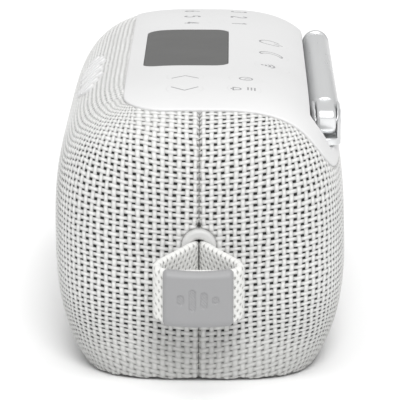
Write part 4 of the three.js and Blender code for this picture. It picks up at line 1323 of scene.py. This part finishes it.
def outer_tube():
    end, r = TUBE_END, TUBE_RADIUS
    profile = [(0.01, TUBE_START), (r - 0.5, TUBE_START), (r - 0.5, TUBE_START - 0.5), (r, TUBE_START - 1.0),
               (r, end + 2.2), (r - 0.18, end + 2.1), (r - 0.18, end + 1.7), (r, end + 1.6),  # a groove
               (r, end), (TUBE_BORE, end), (TUBE_BORE, TUBE_START - 6), (0.01, TUBE_START - 6)]
    build = Build()
    build.add(*turned(rounded_profile(profile, 0.3), AXIS_POINT, (1, 0, 0), (0, 0, 1), 96))
    x0, x1, z = TUBE_START - 0.4, PIVOT_X, AERIAL_Z
    outline = spread(np.concatenate([
        [(x0, z - 3.0), (x1, z - 3.4)], arc(x1, z, 3.4, -84, -6, 12),
        [(x1 + 3.4, z + 1.1)], arc(x1 + 1.1, z + 1.1, 2.3, 8, 90, 10), [(x0, z + 3.4)],
    ]), 0.5)
    tongue = plate(facing(1, 1, AERIAL_Y + TONGUE_HALF), outline, [circle(PIVOT_X, AERIAL_Z, 1.35, 32)],
                   2 * TONGUE_HALF, [0.9, 0.2], 0.8, both=True)
    merge(build, tongue)
    made = piece("aerial_outer_tube", build, "antenna_outer", "silver", "antenna_silver", ["antenna_outer_tube"])
    shade_smooth(made, 50)


def merge(build, other):
    """Adds another build's points and faces, without its set normals."""
    build.add(np.concatenate(other.points), other.faces)


outer_tube()
for size in ("middle", "inner"):
    low, high = box_mm(f"antenna_{size}_tube")
    wide = (high[1] - low[1]) / 2
    bore = wide - TUBE_WALL
    profile = [(bore, high[0]), (wide, high[0]), (wide, low[0]), (bore, low[0]), (bore, high[0])]
    lathe_piece(f"aerial_{size}_tube", profile, f"antenna_{size}", f"antenna_{size}_tube", 0.15)
tip = ROD_LOW[0]
rod = [(0.01, ROD_HIGH[0]), (1.2, ROD_HIGH[0]), (1.2, tip + 4.2), (3.7, tip + 4.2), (TUBE_RADIUS, tip + 3.8),
       (TUBE_RADIUS, tip + 1.6), (TUBE_RADIUS - 0.5, tip + 0.6), (TUBE_RADIUS - 1.6, tip), (0.01, tip)]
lathe_piece("aerial_rod", rod, "antenna_tip", "antenna_rod", 0.9)


def fork():
    """The swivel: a base with two cheeks, half round at its nose."""
    half, slot = (FORK_HIGH[1] - FORK_LOW[1]) / 2, FORK_SLOT_HALF
    bottom, floor, top = AERIAL_Z - 5.9, AERIAL_Z - 4.0, FORK_HIGH[2]
    rounding = 3.4
    y0 = AERIAL_Y
    shape = [(y0 - half, bottom), (y0 + half, bottom), (y0 + half, top - 0.7), (y0 + half - 0.4, top - 0.1),
             (y0 + slot + 0.3, top), (y0 + slot, top - 0.3), (y0 + slot, floor), (y0 - slot, floor),
             (y0 - slot, top - 0.3), (y0 - slot - 0.3, top), (y0 - half + 0.4, top - 0.1), (y0 - half, top - 0.7)]
    back = FORK_LOW[0]

    def nose(plane):
        off = np.clip((plane[:, 0] - y0) / half, -1, 1)
        up = np.clip((plane[:, 1] - top + rounding) / rounding, 0, 1)
        return PIVOT_X + half * np.sqrt(np.maximum(1 - off**2, 0.02)) - rounding * (1 - np.sqrt(1 - 0.98 * up**2))

    def surface(plane, depth):
        x = nose(plane) - np.asarray(depth)
        off = np.clip((plane[:, 0] - y0) / half, -0.98, 0.98)
        normal = np.column_stack([np.sqrt(1 - off**2), off, np.zeros(len(plane))])
        return np.column_stack([x, plane]), normal

    outline = spread(np.array(shape), 0.4)
    build, pin = Build(), Build()
    merge(build, plate(surface, outline, [], lambda plane: nose(plane) - back, 0.35, 0.5, both=True))
    pivot = (PIVOT_X, AERIAL_Y, AERIAL_Z)
    stud = rounded_profile([(0.01, -9.9), (1.8, -9.9), (1.8, -5.6), (0.01, -5.6)], 0.2)
    build.add(*turned(stud, pivot, (0, 0, 1), (1, 0, 0), 32))
    shade_smooth(piece("aerial_swivel", build, "antenna_base", "silver", "antenna_silver", ["antenna_swivel"]), 40)
    axle = rounded_profile([(0.01, -3.85), (1.1, -3.85), (1.1, 3.85), (0.01, 3.85)], 0.25)
    pin.add(*turned(axle, pivot, (0, 1, 0), (0, 0, 1), 40))
    shade_smooth(piece("aerial_hinge_pin", pin, "antenna_base", "steel", "plain_steel", ["antenna_hinge_pin"]), 40)


fork()


# ---------------------------------------------------------------- rear port, base and foot
def rear_plate(name, shape, holes, thickness, fillet, body, material, slot, nodes, top=0.0):
    build = plate(on_case, rear_loop(shape), [rear_loop(hole) for hole in holes], thickness, fillet, 1.2, top)
    return piece(name, build, body, material, slot, nodes)


port_x, port_z = PORT_CENTRE
surround = rounded_rectangle(port_x, port_z, *PORT_SIZE, 3.0)
opening = rounded_rectangle(port_x, port_z, 20, 9.8, 2.4)
rear_plate("port_surround", surround, [opening], 4.2, 0.4, "case", "panel", "panel_plastic", ["port_frame"])
flap = rounded_rectangle(*middle_mm("port_cover")[[0, 2]], *size_mm("port_cover")[[0, 2]], 2.0)
rear_plate("port_flap", flap, [], 2.6, 0.35, "port_cover", "rubber", "grey_rubber", ["port_cover"], 0.05)

base_low = box_mm("base_plate")[0]
foot_low, foot_high = box_mm("rubber_foot")
BASE_INSET = 4.9  # the base stops this far inside the case, so that the cover can turn under it
angle = np.arange(0, TAU, TAU / 300)
direction = np.column_stack([np.cos(angle), np.sin(angle), np.zeros(len(angle))])
centre = np.column_stack([np.zeros((len(angle), 2)), np.full(len(angle), base_low[2])])
rim = (centre + direction * case_hit(centre, direction)[:, None])[:, :2]
rim = spread(rim, 1.5)
rim = rim - outward(rim) * BASE_INSET
screws = [box_mm(f"base_screw_{i}") for i in range(1, 5)]
screw_spots = [tuple(((low + high) / 2)[:2]) for low, high in screws]
screw_holes = [circle(x, y, 3.1) for x, y in screw_spots]
base_build = plate(facing(2, -1, base_low[2]), rim, screw_holes, 2.6, 0.4, 3.0)
piece("base_tray", base_build, "case", "shell", "shell_plastic", ["base_plate"])
foot_shape = rounded_rectangle(0, 0, foot_high[0] * 2, foot_high[1] * 2, 12, 0.8)
foot_build = plate(facing(2, -1, foot_low[2]), foot_shape, [], foot_high[2] - foot_low[2], 0.5, 2.5)
piece("foot_pad", foot_build, "case", "foot", "grey_rubber", ["rubber_foot"])
for i, ((x, y), (low, high)) in enumerate(zip(screw_spots, screws), 1):
    hexagon = circle(x, y, 1.05, 6)
    head = plate(facing(2, -1, low[2]), circle(x, y, 2.6), [hexagon], 1.5, 0.3, 0.9)
    piece(f"base_screw_head_{i}", head, "case", "steel", "plain_steel", [f"base_screw_{i}"])


# ---------------------------------------------------------------- materials for the CAD pieces that stay
CARRIED = {
    "shell": ["front_housing", "rear_housing"],
    "board": ["key_board", "main_board"],
    "dark": ["display_module", "radiator_frame", "battery_cradle"],
    "rubber": ["keypad_mat"],
    "steel": ["driver_frame_left", "driver_frame_right", "usb_socket", "antenna_clip", "strap_bracket",
              "strap_anchor_pin"],
    "magnet": ["driver_magnet_left", "driver_magnet_right"],
    "cone": ["driver_cone_left", "driver_cone_right", "radiator_diaphragm"],
    "battery": ["battery_pack"],
}
for material, nodes in CARRIED.items():
    for node in nodes:
        NODES[node].data.materials.clear()
        NODES[node].data.materials.append(MATERIALS[material])


# ---------------------------------------------------------------- stage, light and the closing lines
def far_light(name, place, spread_degrees, strength):
    """An even soft light from one side, like a large lamp far off."""
    data = bpy.data.lights.new(name, "SUN")
    data.angle, data.energy = math.radians(spread_degrees), strength
    light = bpy.data.objects.new(name, data)
    light.location = place
    light.rotation_euler = (-Vector(place)).to_track_quat("-Z", "Y").to_euler()
    bpy.context.scene.collection.objects.link(light)


def make_stage():
    build = Build()
    build.add([[-4000, -4000, 0], [4000, -4000, 0], [4000, 4000, 0], [-4000, 4000, 0]], [(0, 1, 2, 3)])
    g = Graph("pale_floor", (0.93, 0.93, 0.93), 0.9)
    floor = bpy.data.objects.new("floor", build.mesh("floor"))
    floor.data.materials.append(g.finish())
    bpy.context.scene.collection.objects.link(floor)
    floor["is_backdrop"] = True
    world = bpy.data.worlds.new("studio")
    world.use_nodes = True
    world.node_tree.nodes["Background"].inputs["Color"].default_value = (1, 1, 1, 1)
    world.node_tree.nodes["Background"].inputs["Strength"].default_value = 0.6
    bpy.context.scene.world = world
    far_light("key", (1.0, 0.12, 0.95), 22, 1.57)
    far_light("top", (0.1, 0.0, 1.2), 50, 1.0)


make_stage()
bpy.context.scene.view_settings.view_transform = "Standard"

visual_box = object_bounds()
{"cad": [list(c) for c in cad_box], "visual": [list(c) for c in visual_box]}
